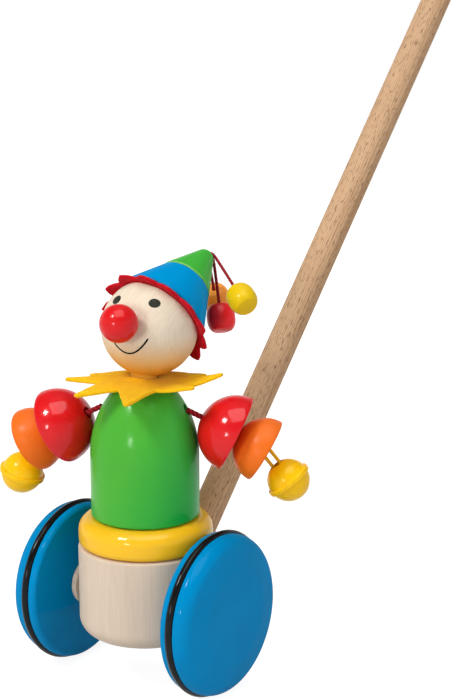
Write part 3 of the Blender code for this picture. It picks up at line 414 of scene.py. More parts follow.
# Each lamp: right, near, height, size, power, whether it lights and whether gloss mirrors it
LAMPS = {
    "key_softbox": (-0.76, 0.6, 1.24, 0.4, 10.5, True, False),
    "low_softbox": (-0.7, 1.28, 0.41, 0.3, 6.5, True, False),
    "fill_softbox": (1.5, 0.7, 0.7, 1.2, 7.0, True, False),
    "top_softbox": (0.1, -0.5, 1.6, 1.2, 9.5, True, False),
    "key_glint": (-0.67, 0.53, 1.1, 0.26, 12.0, False, True),
    "low_glint": (-0.62, 1.13, 0.37, 0.17, 3.2, False, True),
    "top_glint": (0.12, 0.42, 1.64, 1.25, 20.0, False, True),
}


def make_lamp(name, right, near, height, size, power, lights, mirrored):
    """Square soft box placed by the camera's right, the camera's side and a height, in metres.
    One that doesn't light is only mirrored in gloss, and one that isn't mirrored only lights."""
    data = bpy.data.lights.new(name, "AREA")
    data.shape = "SQUARE"
    data.size = size
    data.energy = power
    lamp = bpy.data.objects.new(name, data)
    lamp.visible_diffuse = lights
    lamp.visible_glossy = mirrored
    place = right * VIEW_RIGHT + near * VIEW_NEAR + Vector((0.0, 0.0, height))
    lamp.matrix_world = Matrix.Translation(place) @ along(place - LIGHT_AIM)
    bpy.context.scene.collection.objects.link(lamp)


for lamp_name, lamp_values in LAMPS.items():
    make_lamp(lamp_name, *lamp_values)


# Shader nodes

class Wire:
    """One output socket of a node tree. Sums on it add Math nodes to the tree."""

    def __init__(self, tree, socket=None):
        self.tree = tree
        self.socket = socket

    def node(self, kind, settings=None, sockets=None, output=0):
        """Add a node, make its settings, feed its sockets and give back one of its outputs."""
        made = self.tree.nodes.new(kind)
        for name, value in (settings or {}).items():
            if name == "stops":
                set_stops(made.color_ramp, value)
            else:
                setattr(made, name, value)
        for name, value in (sockets or {}).items():
            self.feed(made.inputs[name], value)
        return Wire(self.tree, made.outputs[output])

    def feed(self, target, value):
        if isinstance(value, Wire):
            self.tree.links.new(value.socket, target)
        else:
            target.default_value = value

    def maths(self, operation, *values):
        return self.node("ShaderNodeMath", {"operation": operation}, dict(enumerate(values)))

    def __add__(self, other):
        return self.maths("ADD", self, other)

    def __radd__(self, other):
        return self.maths("ADD", other, self)

    def __sub__(self, other):
        return self.maths("SUBTRACT", self, other)

    def __rsub__(self, other):
        return self.maths("SUBTRACT", other, self)

    def __mul__(self, other):
        return self.maths("MULTIPLY", self, other)

    def __rmul__(self, other):
        return self.maths("MULTIPLY", other, self)


def set_stops(ramp, stops):
    while len(ramp.elements) > 1:
        ramp.elements.remove(ramp.elements[-1])
    for index, (position, shade) in enumerate(stops):
        element = ramp.elements[0] if index == 0 else ramp.elements.new(position)
        element.position = position
        element.color = (shade, shade, shade, 1.0)


def from_screen(red, green, blue):
    """Linear colour of a screen colour given from 0 to 255."""
    linear = []
    for value in (red, green, blue):
        share = value / 255.0
        linear.append(share / 12.92 if share <= 0.04045 else ((share + 0.055) / 1.055) ** 2.4)
    return (*linear, 1.0)


def new_finish(name, colour):
    """Material with a Principled shader. Gives the material, a wire to build on and the shader."""
    material = bpy.data.materials.new(name)
    material.use_nodes = True
    tree = material.node_tree
    tree.nodes.clear()
    end = tree.nodes.new("ShaderNodeOutputMaterial")
    shader = tree.nodes.new("ShaderNodeBsdfPrincipled")
    shader.inputs["Base Color"].default_value = colour
    tree.links.new(shader.outputs[0], end.inputs["Surface"])
    material.diffuse_color = colour
    return material, Wire(tree), shader


def evenly(scale):
    return (scale, scale, scale)


def local_place(wire, scale):
    """Place in the piece's own frame, kept in an attribute, scaled along each axis."""
    place = wire.node("ShaderNodeAttribute", {"attribute_name": "local"}, output="Vector")
    return wire.node("ShaderNodeMapping", sockets={"Vector": place, "Scale": scale})


def object_place(wire, scale):
    place = wire.node("ShaderNodeTexCoord", output="Object")
    return wire.node("ShaderNodeMapping", sockets={"Vector": place, "Scale": scale})


def height_in(wire, place):
    return wire.node("ShaderNodeSeparateXYZ", sockets={"Vector": place}, output="Z")


def feed_shader(wire, shader, values):
    """Feed named inputs of a shader, with numbers or with wires."""
    for name, value in values.items():
        wire.feed(shader.inputs[name], value)


def noise(wire, place, detail=3.0, roughness=0.5, distortion=0.0):
    sockets = {"Vector": place, "Scale": 1.0, "Detail": detail, "Roughness": roughness,
               "Distortion": distortion}
    return wire.node("ShaderNodeTexNoise", {"noise_dimensions": "3D"}, sockets, output="Fac")


def ramp(wire, value, *stops):
    return wire.node("ShaderNodeValToRGB", {"stops": stops}, {"Fac": value}, output="Color")


# Sockets of a Mix node that hold colours
COLOUR_FIRST = 6
COLOUR_SECOND = 7
COLOUR_RESULT = 2


def mixed(wire, share, first, second):
    """Colour between two colours by a share."""
    sockets = {"Factor": share, COLOUR_FIRST: first, COLOUR_SECOND: second}
    return wire.node("ShaderNodeMix", {"data_type": "RGBA"}, sockets, output=COLOUR_RESULT)


def bump(wire, height, strength, distance):
    return wire.node("ShaderNodeBump", sockets={"Height": height, "Strength": strength, "Distance": distance},
                     output="Normal")


# Finishes

LACQUER_BLUR = 0.32
# Width of the band of painted highlight at a lacquer's rim
RIM_WIDTH = 0.8 * MM
UNSCALED = evenly(1.0)
BOUNCE_LOW = BODY_TOP + HEAD_NECK_GAP
BOUNCE_HIGH = BOUNCE_LOW + 21.0 * MM
BOUNCE_FADE = ((0.0, 0.0), (0.45, 0.6), (0.8, 1.0))
# Painted shade on the green body: towards the camera's right and down, away from the key light, its colour
# shifts to a darker, bluer green
PAINTED_SHADE_DIRECTION = tuple(0.9 * VIEW_RIGHT - Vector((0.0, 0.0, 0.45)))
PAINTED_SHADE_START = -46.0 * MM
PAINTED_SHADE_END = -8.0 * MM


def raw_wood(name, light, dark, fleck, streak_scale, fleck_size, fleck_share, rings, ring_share=0.25,
             fleck_depth=0.55, place=local_place, bounce=None):
    """Bare turned wood: long streaks, growth lines and short flecks that run along local Z.

    Bounce is the light thrown up by what lies below: two heights, a colour and its share at the
    lower height."""
    material, wire, shader = new_finish(name, light)
    streaks_place = place(wire, (streak_scale, streak_scale, streak_scale * 0.03))
    streaks = noise(wire, streaks_place, detail=4.0, roughness=0.6)
    broad = noise(wire, place(wire, (90.0, 90.0, 9.0)), detail=2.0)
    lines_place = place(wire, (rings, rings * 0.35, rings * 0.025))
    lines = wire.node("ShaderNodeTexWave", {"wave_type": "BANDS", "bands_direction": "X"},
                      {"Vector": lines_place, "Scale": 1.0, "Distortion": 3.0, "Detail": 2.0,
                       "Detail Scale": 0.6}, output="Fac")
    width, length = fleck_size
    flecks = noise(wire, place(wire, (1.0 / width, 1.0 / width, 1.0 / length)), detail=1.0)
    fleck_mask = ramp(wire, flecks, (fleck_share, 0.0), (fleck_share + 0.07, 1.0))
    grain = streaks * (0.8 - ring_share) + lines * ring_share + broad * 0.35 - 0.1
    shade = ramp(wire, grain, (0.3, 0.0), (0.72, 1.0))
    ground = mixed(wire, shade, light, dark)
    ground = mixed(wire, fleck_mask * fleck_depth, ground, fleck)
    if bounce:
        low, high, glow, strength = bounce
        height = height_in(wire, object_place(wire, UNSCALED))
        near_low = ramp(wire, (high - height) * (1.0 / (high - low)), *BOUNCE_FADE)
        ground = mixed(wire, near_low * strength, ground, glow)
    feed_shader(wire, shader, {
        "Base Color": ground,
        "Roughness": 0.5 + streaks * 0.16,
        "Normal": bump(wire, streaks * 0.5 - fleck_mask * 0.6, strength=0.18, distance=0.2 * MM),
        "Specular IOR Level": 0.12,
    })
    return material


def lacquer(name, colour, shade, coat, coat_blur, grain_strength=0.04, rim=None, painted_shade=None, gloss=0.05):
    """Lacquer on turned wood: slight shade changes, the grain's relief and a clear skin.

    A rim is a height along the piece's axis and a lighter colour painted in a band there, a painted highlight
    along that edge.
    A painted shade is a direction, two distances along it and the colour that the lacquer shifts to between
    them: shade painted into the colour on the side away from the light."""
    material, wire, shader = new_finish(name, colour)
    cloud = noise(wire, local_place(wire, (55.0, 55.0, 22.0)), detail=3.0)
    grain = noise(wire, local_place(wire, (1500.0, 1500.0, 40.0)), detail=3.0, roughness=0.55)
    speck = noise(wire, local_place(wire, evenly(700.0)), detail=2.0)
    share = ramp(wire, cloud * 0.75 + grain * 0.25, (0.36, 0.0), (0.66, 1.0))
    ground = mixed(wire, share * 0.6, colour, shade)
    # Painted highlight: a lighter colour in a band at the rim's height, for the light caught by the rounded
    # edge
    if rim:
        height = height_in(wire, local_place(wire, UNSCALED))
        near_rim = 1 - wire.maths("ABSOLUTE", height - rim[0]) * (1.0 / RIM_WIDTH)
        wear_and_highlight = ramp(wire, near_rim + grain * 0.5, (0.35, 0.0), (0.6, 1.0))
        ground = mixed(wire, wear_and_highlight * 0.75, ground, rim[1])
    # Painted shade: the colour shifts along a direction, towards the side away from the light
    if painted_shade:
        direction, start, end, other = painted_shade
        reach = wire.node("ShaderNodeVectorMath", {"operation": "DOT_PRODUCT"},
                          {0: object_place(wire, UNSCALED), 1: direction}, output="Value")
        painted_shade_share = ramp(wire, (reach - start) * (1.0 / (end - start)), (0.0, 0.0), (1.0, 1.0))
        ground = mixed(wire, painted_shade_share, ground, other)
    feed_shader(wire, shader, {
        "Base Color": ground,
        "Roughness": LACQUER_BLUR + cloud * 0.1,
        "Normal": bump(wire, grain * 0.6 + speck * 0.4, strength=grain_strength, distance=0.25 * MM),
        "Coat Weight": coat,
        "Coat Roughness": coat_blur,
        "Specular IOR Level": gloss,
    })
    return material


def felt(name, colour, dark, light):
    """Pressed wool felt: matted fibres in slightly different shades."""
    material, wire, shader = new_finish(name, colour)
    mat = noise(wire, object_place(wire, evenly(420.0)), detail=4.0, roughness=0.65, distortion=1.4)
    fibre = noise(wire, object_place(wire, evenly(1900.0)), detail=3.0, roughness=0.7, distortion=2.5)
    patch = noise(wire, object_place(wire, evenly(70.0)), detail=2.0)
    low = ramp(wire, mat * 0.6 + fibre * 0.4, (0.34, 0.0), (0.56, 1.0))
    ground = mixed(wire, low, dark, colour)
    lit = ramp(wire, fibre * 0.7 + patch * 0.3, (0.52, 0.0), (0.7, 1.0))
    feed_shader(wire, shader, {
        "Base Color": mixed(wire, lit * 0.5, ground, light),
        "Roughness": 0.82 + fibre * 0.15,
        "Normal": bump(wire, mat * 0.6 + fibre * 0.4, strength=0.55, distance=0.5 * MM),
        "Sheen Weight": 0.05,
        "Sheen Roughness": 0.5,
        "Specular IOR Level": 0.05,
    })
    return material


def twisted_cord(name, colour, dark):
    """Twisted cord with fine yarns along its strands, and painted shade in the grooves between them."""
    material, wire, shader = new_finish(name, colour)
    # Painted shade: darker between the strands, where strand_depth falls to zero
    depth = wire.node("ShaderNodeAttribute", {"attribute_name": "strand_depth"}, output="Fac")
    yarn = noise(wire, object_place(wire, evenly(3200.0)), detail=2.0, roughness=0.6)
    share = ramp(wire, depth * 0.75 + yarn * 0.25, (0.2, 0.0), (0.75, 1.0))
    feed_shader(wire, shader, {
        "Base Color": mixed(wire, share, dark, colour),
        "Roughness": 0.65 + yarn * 0.25,
        "Normal": bump(wire, yarn, strength=0.4, distance=0.2 * MM),
        "Sheen Weight": 0.05,
        "Specular IOR Level": 0.1,
    })
    return material


def rubber(name, colour, dust):
    material, wire, shader = new_finish(name, colour)
    cloud = noise(wire, object_place(wire, evenly(130.0)), detail=4.0)
    grit = noise(wire, object_place(wire, evenly(2400.0)), detail=2.0)
    share = ramp(wire, cloud * 0.7 + grit * 0.3, (0.45, 0.0), (0.7, 1.0))
    feed_shader(wire, shader, {
        "Base Color": mixed(wire, share * 0.6, colour, dust),
        "Roughness": 0.1 + cloud * 0.12,
        "Normal": bump(wire, grit, strength=0.05, distance=0.2 * MM),
        "Specular IOR Level": 0.15,
    })
    return material


def bell_paint(name, colour, shade):
    """Thick yellow lacquer on pressed steel, with soft dents and a few fine specks."""
    material, wire, shader = new_finish(name, colour)
    dents = noise(wire, local_place(wire, evenly(160.0)), detail=2.0)
    peel = noise(wire, local_place(wire, evenly(1100.0)), detail=2.0)
    share = ramp(wire, dents, (0.4, 0.0), (0.7, 1.0))
    feed_shader(wire, shader, {
        "Base Color": mixed(wire, share * 0.5, colour, shade),
        "Roughness": 0.16 + peel * 0.12,
        "Normal": bump(wire, dents * 0.7 + peel * 0.3, strength=0.12, distance=0.4 * MM),
        "Specular IOR Level": 0.06,
        "Coat Weight": 0.2,
        "Coat Roughness": 0.07,
    })
    return material


def face_paint(name, colour, wear_and_highlight):
    material, wire, shader = new_finish(name, colour)
    cloud = noise(wire, object_place(wire, evenly(900.0)), detail=3.0)
    worn_share = ramp(wire, cloud, (0.5, 0.0), (0.8, 1.0))
    feed_shader(wire, shader, {
        "Base Color": mixed(wire, worn_share, colour, wear_and_highlight),
        "Roughness": 0.35 + cloud * 0.2,
        "Specular IOR Level": 0.08,
    })
    return material


def bare_steel(name, colour, dark):
    material, wire, shader = new_finish(name, colour)
    cloud = noise(wire, object_place(wire, evenly(600.0)), detail=3.0)
    feed_shader(wire, shader, {
        "Base Color": mixed(wire, cloud, colour, dark),
        "Roughness": 0.2 + cloud * 0.2,
        "Metallic": 1.0,
    })
    return material


MAPLE = raw_wood("maple_wood", from_screen(226, 207, 187), from_screen(211, 190, 168),
                 from_screen(192, 169, 146), streak_scale=1700.0, fleck_size=(0.4 * MM, 2.4 * MM),
                 fleck_share=0.68, rings=420.0, ring_share=0.12, fleck_depth=0.3)
MAPLE_HEAD = raw_wood("maple_head", from_screen(233, 218, 196), from_screen(221, 203, 178),
                      from_screen(204, 181, 150), streak_scale=900.0, fleck_size=(0.4 * MM, 1.2 * MM),
                      fleck_share=0.72, rings=300.0, ring_share=0.1,
                      bounce=(BOUNCE_LOW, BOUNCE_HIGH, from_screen(224, 160, 34), 0.95))
BEECH_TONES = (from_screen(212, 174, 137), from_screen(184, 144, 107), from_screen(104, 70, 42))
BEECH = raw_wood("beech_wood", *BEECH_TONES, streak_scale=800.0, fleck_size=(0.5 * MM, 3.8 * MM),
                 fleck_share=0.595, rings=320.0, fleck_depth=0.65)
BEECH_HIDDEN = raw_wood("beech_hidden", *BEECH_TONES, streak_scale=800.0, fleck_size=(0.4 * MM, 2.8 * MM),
                        fleck_share=0.585, rings=320.0, place=object_place)
BLUE = lacquer("blue_lacquer", from_screen(0, 146, 208), from_screen(0, 136, 196), coat=0.07, coat_blur=0.1,
               gloss=0.0)
WHEEL_BLUE = lacquer("wheel_lacquer", from_screen(0, 141, 202), from_screen(0, 131, 190), coat=0.09,
                     coat_blur=0.09, gloss=0.0)
# The green body carries painted shade, darker and bluer towards the camera's right and down
GREEN = lacquer("green_lacquer", from_screen(80, 180, 56), from_screen(70, 171, 50), coat=0.22,
                coat_blur=0.16, painted_shade=(PAINTED_SHADE_DIRECTION, PAINTED_SHADE_START, PAINTED_SHADE_END, from_screen(8, 168, 66)))
# The tip's lower edge carries a painted highlight in light green
GREEN_TIP = lacquer("green_tip_lacquer", from_screen(66, 178, 58), from_screen(57, 169, 52), coat=0.2,
                    coat_blur=0.16, rim=(TIP_BOTTOM, from_screen(150, 212, 104)))
YELLOW = lacquer("yellow_lacquer", from_screen(252, 197, 34), from_screen(248, 188, 24), coat=0.4,
                 coat_blur=0.1)
RED = lacquer("red_lacquer", from_screen(224, 19, 26), from_screen(210, 15, 21), coat=0.5, coat_blur=0.11)
NOSE_RED = lacquer("nose_lacquer", from_screen(222, 22, 27), from_screen(210, 17, 22), coat=0.4,
                   coat_blur=0.13, grain_strength=0.1)
ORANGE = lacquer("orange_lacquer", from_screen(240, 115, 33), from_screen(232, 105, 26), coat=0.12,
                 coat_blur=0.3, grain_strength=0.1)
# The red and orange beads are painted lighter than their lacquer: painted light, making up for the hat's
# shade on them
BEAD_RED_PAINTED_LIGHT = lacquer("bead_red_painted_light", from_screen(248, 42, 48), from_screen(232, 32, 40), coat=0.3,
                   coat_blur=0.2, grain_strength=0.12)
BEAD_YELLOW = lacquer("bead_yellow_lacquer", from_screen(233, 195, 8), from_screen(219, 179, 6), coat=0.2,
                      coat_blur=0.2, grain_strength=0.12)
BEAD_ORANGE_PAINTED_LIGHT = lacquer("bead_orange_painted_light", from_screen(255, 160, 62), from_screen(246, 146, 48), coat=0.2,
                      coat_blur=0.2, grain_strength=0.12)
YELLOW_FELT = felt("yellow_felt", from_screen(254, 199, 24), from_screen(243, 180, 12),
                   from_screen(255, 210, 48))
RED_FELT = felt("red_felt", from_screen(206, 16, 32), from_screen(158, 10, 24), from_screen(222, 40, 52))
# The darker red is painted shade between the cord's strands
CORD = twisted_cord("dark_red_cord", from_screen(172, 28, 42), from_screen(82, 9, 17))
BLACK_RUBBER = rubber("black_rubber", from_screen(14, 15, 17), from_screen(34, 35, 38))
BELL = bell_paint("yellow_bell", from_screen(255, 200, 14), from_screen(249, 187, 6))
EYE_PAINT = face_paint("eye_paint", from_screen(40, 41, 34), from_screen(70, 69, 58))
SMILE_PAINT = face_paint("smile_paint", from_screen(26, 20, 16), from_screen(48, 40, 34))
STEEL = bare_steel("steel", from_screen(190, 190, 192), from_screen(150, 150, 152))


# Mesh helpers

def rounded(corners, closed=False, steps=FILLET_STEPS):
    """Profile of (radius, height) points from corners of (radius, height, rounding)."""
    count = len(corners)
    points = []
    for index, (r, z, size) in enumerate(corners):
        if size <= 0.0 or (not closed and index in (0, count - 1)):
            points.append((r, z))
            continue
        here = Vector((r, z))
        back = Vector(corners[index - 1][:2]) - here
        ahead = Vector(corners[(index + 1) % count][:2]) - here
        opening = back.angle(ahead)
        largest = FILLET_LARGEST_SHARE * min(back.length, ahead.length)
        reach = min(size / tan(opening / 2), largest)
        true_size = reach * tan(opening / 2)
        centre = here + (back.normalized() + ahead.normalized()).normalized() * (true_size / sin(opening / 2))
        first = here + back.normalized() * reach - centre
        second = here + ahead.normalized() * reach - centre
        for step in range(steps + 1):
            points.append(tuple(centre + true_size * first.slerp(second, step / steps)))
    return points


def arc(centre_r, centre_z, radius, start, end, steps):
    points = []
    for step in range(steps + 1):
        angle = start + (end - start) * step / steps
        points.append((centre_r + radius * cos(angle), centre_z + radius * sin(angle)))
    return points


def arc_corners(radius, centre_z, start, end, steps):
    """Arc about a centre on the axis, as corners that aren't rounded."""
    return [(r, z, 0.0) for r, z in arc(0.0, centre_z, radius, start, end, steps)]


def link_piece(name, mesh, material, place=None):
    """Put a mesh made in its own frame in place, with that frame kept as an attribute."""
    place = place or Matrix()
    count = len(mesh.vertices)
    flat = np.empty(count * 3, dtype=np.float32)
    mesh.vertices.foreach_get("co", flat)
    attribute = mesh.attributes.new("local", "FLOAT_VECTOR", "POINT")
    attribute.data.foreach_set("vector", flat)
    mesh.transform(place)
    mesh.materials.clear()
    mesh.materials.append(material)
    obj = bpy.data.objects.new(name, mesh)
    bpy.context.scene.collection.objects.link(obj)
    return obj


def finish_mesh(name, shape, smooth_angle=SMOOTH_ANGLE):
    bmesh.ops.recalc_face_normals(shape, faces=shape.faces)
    mesh = bpy.data.meshes.new(name)
    shape.to_mesh(mesh)
    shape.free()
    mesh.shade_smooth()
    mesh.set_sharp_from_angle(angle=smooth_angle)
    return mesh


def lathe_mesh(name, profile, steps=LATHE_STEPS, closed=False):
    """Closed shape turned about local Z. Points on the axis become poles."""
    shape = bmesh.new()
    rings = []
    for r, z in profile:
        if r < ON_AXIS:
            rings.append([shape.verts.new((0.0, 0.0, z))])
        else:
            rings.append([shape.verts.new((r * cos(2 * pi * k / steps), r * sin(2 * pi * k / steps), z))
                          for k in range(steps)])
    pairs = list(zip(rings, rings[1:]))
    if closed:
        pairs.append((rings[-1], rings[0]))
    for upper, lower in pairs:
        for k in range(steps):
            after = (k + 1) % steps
            corners = [upper[k % len(upper)], lower[k % len(lower)], lower[after % len(lower)],
                       upper[after % len(upper)]]
            corners = list(dict.fromkeys(corners))
            if len(corners) > 2:
                shape.faces.new(corners)
    return finish_mesh(name, shape)


def cylinder_cutter(radius, start, end, steps=SMALL_LATHE_STEPS):
    start = Vector(start)
    end = Vector(end)
    length = (end - start).length
    mesh = lathe_mesh("cutter", [(0.0, length), (radius, length), (radius, 0.0), (0.0, 0.0)], steps)
    mesh.transform(Matrix.Translation(start) @ along(end - start))
    return mesh


def cut_mesh(mesh, cutters):
    """Mesh with each cutter mesh taken out of it, in the mesh's own frame."""
    body = bpy.data.objects.new("cut_body", mesh)
    bpy.context.scene.collection.objects.link(body)
    tools = []
    for cutter in cutters:
        tool = bpy.data.objects.new("cut_tool", cutter)
        bpy.context.scene.collection.objects.link(tool)
        tools.append(tool)
        boolean = body.modifiers.new("cut", "BOOLEAN")
        boolean.operation = "DIFFERENCE"
        boolean.solver = "EXACT"
        boolean.object = tool
    bpy.context.view_layer.update()
    graph = bpy.context.evaluated_depsgraph_get()
    result = bpy.data.meshes.new_from_object(body.evaluated_get(graph))
    for obj in [body] + tools:
        bpy.data.objects.remove(obj, do_unlink=True)
    result.shade_smooth()
    result.set_sharp_from_angle(angle=CUT_SMOOTH_ANGLE)
    return result


def dress(obj, body, slot_name, *nodes):
    """The piece rides on a body and stands for solids, which are hidden. The slot's name is not used."""
    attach(obj, body)
    if nodes:
        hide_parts(*nodes)
    return obj


def turned(name, profile, material, body, slot_name, node, place=None, steps=LATHE_STEPS, closed=False,
           cutters=()):
    mesh = lathe_mesh(name, profile, steps, closed)
    if cutters:
        mesh = cut_mesh(mesh, cutters)
    return dress(link_piece(name, mesh, material, place), body, slot_name, node)


def smooth_path(points, count):
    """Evenly spread points of a smooth curve through the given points."""
    padded = [2 * points[0] - points[1]] + points + [2 * points[-1] - points[-2]]
    dense = []
    for i in range(1, len(padded) - 2):
        before, first, second, after = padded[i - 1:i + 3]
        for step in range(ROUTE_STEPS):
            t = step / ROUTE_STEPS
            dense.append(0.5 * (2 * first + (second - before) * t
                                + (2 * before - 5 * first + 4 * second - after) * t ** 2
                                + (3 * first - before - 3 * second + after) * t ** 3))
    dense.append(points[-1].copy())
    lengths = [0.0]
    for first, second in zip(dense, dense[1:]):
        lengths.append(lengths[-1] + (second - first).length)
    path = []
    index = 0
    for step in range(count + 1):
        target = lengths[-1] * step / count
        while index < len(lengths) - 2 and lengths[index + 1] < target:
            index += 1
        share = (target - lengths[index]) / (lengths[index + 1] - lengths[index])
        path.append(dense[index].lerp(dense[index + 1], share))
    return path


def path_frames(path):
    """Side and up vectors along a path that turn as little as they can."""
    frames = []
    side = None
    for i, point in enumerate(path):
        ahead = path[min(i + 1, len(path) - 1)] - path[max(i - 1, 0)]
        tangent = ahead.normalized()
        if side is None:
            side = tangent.orthogonal().normalized()
        side = (side - side.dot(tangent) * tangent).normalized()
        frames.append((point, side, tangent.cross(side)))
    return frames


def path_length(path):
    return sum((second - first).length for first, second in zip(path, path[1:]))


def skin_rings(shape, rings, following):
    """Faces between each ring of points and the one that follows it."""
    for first, second in zip(rings, following):
        count = len(first)
        for k in range(count):
            after = (k + 1) % count
            shape.faces.new((first[k], first[after], second[after], second[k]))


def skin_tube(shape, rings):
    """Faces along a tube, with its two ends closed."""
    skin_rings(shape, rings, rings[1:])
    shape.faces.new(list(reversed(rings[0])))
    shape.faces.new(rings[-1])


def strand_mesh(name, path, radius, pitch):
    """Twisted cord: a section of three round strands that turns as it runs along the path."""
    shape = bmesh.new()
    # strand_depth is one on a strand's crest and zero in a groove; the cord's finish paints shade in the
    # grooves from it
    layer = shape.verts.layers.float.new("strand_depth")
    rings = []
    run = 0.0
    previous = path[0]
    for point, side, up in path_frames(path):
        run += (point - previous).length
        previous = point
        ring = []
        for k in range(CORD_SIDES):
            angle = 2 * pi * k / CORD_SIDES
            lobe = abs(cos(CORD_STRANDS * (angle / 2.0)))
            reach = radius * (STRAND_CORE_SHARE + (1.0 - STRAND_CORE_SHARE) * sqrt(lobe))
            turn = angle + 2 * pi * run / pitch
            vert = shape.verts.new(point + reach * (cos(turn) * side + sin(turn) * up))
            vert[layer] = lobe
            ring.append(vert)
        rings.append(ring)
    skin_tube(shape, rings)
    return finish_mesh(name, shape, CORD_SMOOTH_ANGLE)


def swept_mesh(name, path, section, flat_side):
    """Section of (sideways, up) points swept along a path that lies in one plane."""
    shape = bmesh.new()
    rings = []
    for i, point in enumerate(path):
        tangent = (path[min(i + 1, len(path) - 1)] - path[max(i - 1, 0)]).normalized()
        normal = flat_side.cross(tangent)
        rings.append([shape.verts.new(point + a * flat_side + b * normal) for a, b in section])
    skin_tube(shape, rings)
    return finish_mesh(name, shape, WIRE_SMOOTH_ANGLE)


# Tassels: the cords come first

def tassel_route(hole_angle, bead_place):
    """Cord from the hole in the hat's tip, over its lip and down into its bead."""
    bead = TASSEL_MOUTH + MM * Vector(bead_place)
    aside = Vector((1.0, 0.0, 0.0)) - TASSEL_DIRECTION.x * TASSEL_DIRECTION
    across = TASSEL_DIRECTION.cross(aside)
    offset = TASSEL_SPACING * (cos(hole_angle) * aside + sin(hole_angle) * across)
    start = TASSEL_MOUTH - TASSEL_ROOT * TASSEL_DIRECTION + offset
    mouth = TASSEL_MOUTH + TASSEL_LIFT * TASSEL_DIRECTION + offset
    towards = (bead - TIP_ROUND_CENTRE).normalized()
    over = HAT_TIP_ROUND + TASSEL_CORD_RADIUS + TASSEL_LIFT
    turning = (TASSEL_DIRECTION + TASSEL_BEND_SHARE * towards).normalized()
    bend = TIP_ROUND_CENTRE + over * turning + TASSEL_BEND_SHARE * offset
    down = (bead - bend).normalized()
    end = bead + (BEAD_BORE_DEPTH - BEAD_HALF_LENGTH - SEAT_GAP) * down
    return [start, mouth, bend, bead - BEAD_HALF_LENGTH * down, end], bead, down


def bead_profile():
    """Barrel bead with flat ends and a blind bore for its cord."""
    bore = TASSEL_CORD_RADIUS + TASSEL_CORD_CLEARANCE
    floor = BEAD_HALF_LENGTH - BEAD_BORE_DEPTH
    ends, flanks = BEAD_BULGE_POWERS
    profile = [(0.0, floor), (bore, floor), (bore, BEAD_HALF_LENGTH - BEAD_LIP),
               (bore + BEAD_LIP, BEAD_HALF_LENGTH)]
    for step in range(CURVE_STEPS + 1):
        share = cos(pi * step / CURVE_STEPS)
        bulge = max(1.0 - abs(share) ** ends, 0.0) ** flanks
        radius = BEAD_END_RADIUS + (BEAD_RADIUS - BEAD_END_RADIUS) * bulge
        profile.append((radius, share * BEAD_HALF_LENGTH))
    profile.append((0.0, -BEAD_HALF_LENGTH))
    return profile


def make_tassel(colour, hole_angle, bead_place, finish):
    route, bead, down = tassel_route(hole_angle, bead_place)
    body = "tassel_" + colour
    path = smooth_path(route, TASSEL_CORD_STEPS)
    bead_piece = turned("hat_bead_" + colour, bead_profile(), finish, body, colour + "_lacquer",
                        "bead_" + colour, Matrix.Translation(bead) @ along(-down), SMALL_LATHE_STEPS)
    mesh = strand_mesh("hat_cord_" + colour, path, TASSEL_CORD_RADIUS, TASSEL_CORD_PITCH)
    cord_piece = link_piece("hat_cord_" + colour, mesh, CORD)
    dress(cord_piece, body, "dark_red_cord", "tassel_cord_" + colour)
    path_length(path)


for tassel_entry, bead_finish in zip(TASSELS, (BEAD_YELLOW, BEAD_RED_PAINTED_LIGHT, BEAD_ORANGE_PAINTED_LIGHT)):
    make_tassel(*tassel_entry, bead_finish)


# Base block, stick and wheels

def make_base():
    profile = rounded([(0.0, BASE_HEIGHT, 0.0), (BASE_RADIUS, BASE_HEIGHT, BASE_TOP_ROUND),
                       (BASE_RADIUS, 0.0, BASE_FOOT_ROUND), (0.0, 0.0, 0.0)], steps=10)
    reach = 2 * BASE_RADIUS
    axle_line = Vector((0.0, 0.0, AXLE_HEIGHT))
    stick_floor = STICK_START - SEAT_GAP * STICK_DIRECTION
    cutters = [
        cylinder_cutter(AXLE_RADIUS + RUNNING_CLEARANCE, axle_line - Vector((reach, 0, 0)),
                        axle_line + Vector((reach, 0, 0))),
        cylinder_cutter(DOWEL_RADIUS + SEAT_GAP, (0, 0, BASE_HEIGHT - DOWEL_IN_BASE - SEAT_GAP),
                        (0, 0, 2 * BASE_HEIGHT)),
        cylinder_cutter(STICK_RADIUS + SEAT_GAP, stick_floor,
                        stick_floor + 3 * BASE_RADIUS * STICK_DIRECTION),
    ]
    turned("base", profile, MAPLE, "chassis", "maple_wood", "base_block", cutters=cutters)


def make_stick():
    profile = [(0.0, STICK_LENGTH)]
    profile += arc(STICK_RADIUS - STICK_END_ROUND, STICK_LENGTH - STICK_END_ROUND, STICK_END_ROUND, pi / 2,
                   0.0, steps=12)
    profile += [(STICK_RADIUS, 0.0), (0.0, 0.0)]
    turned("stick", profile, BEECH, "chassis", "beech_wood", "push_stick", STICK_FRAME, SMALL_LATHE_STEPS)


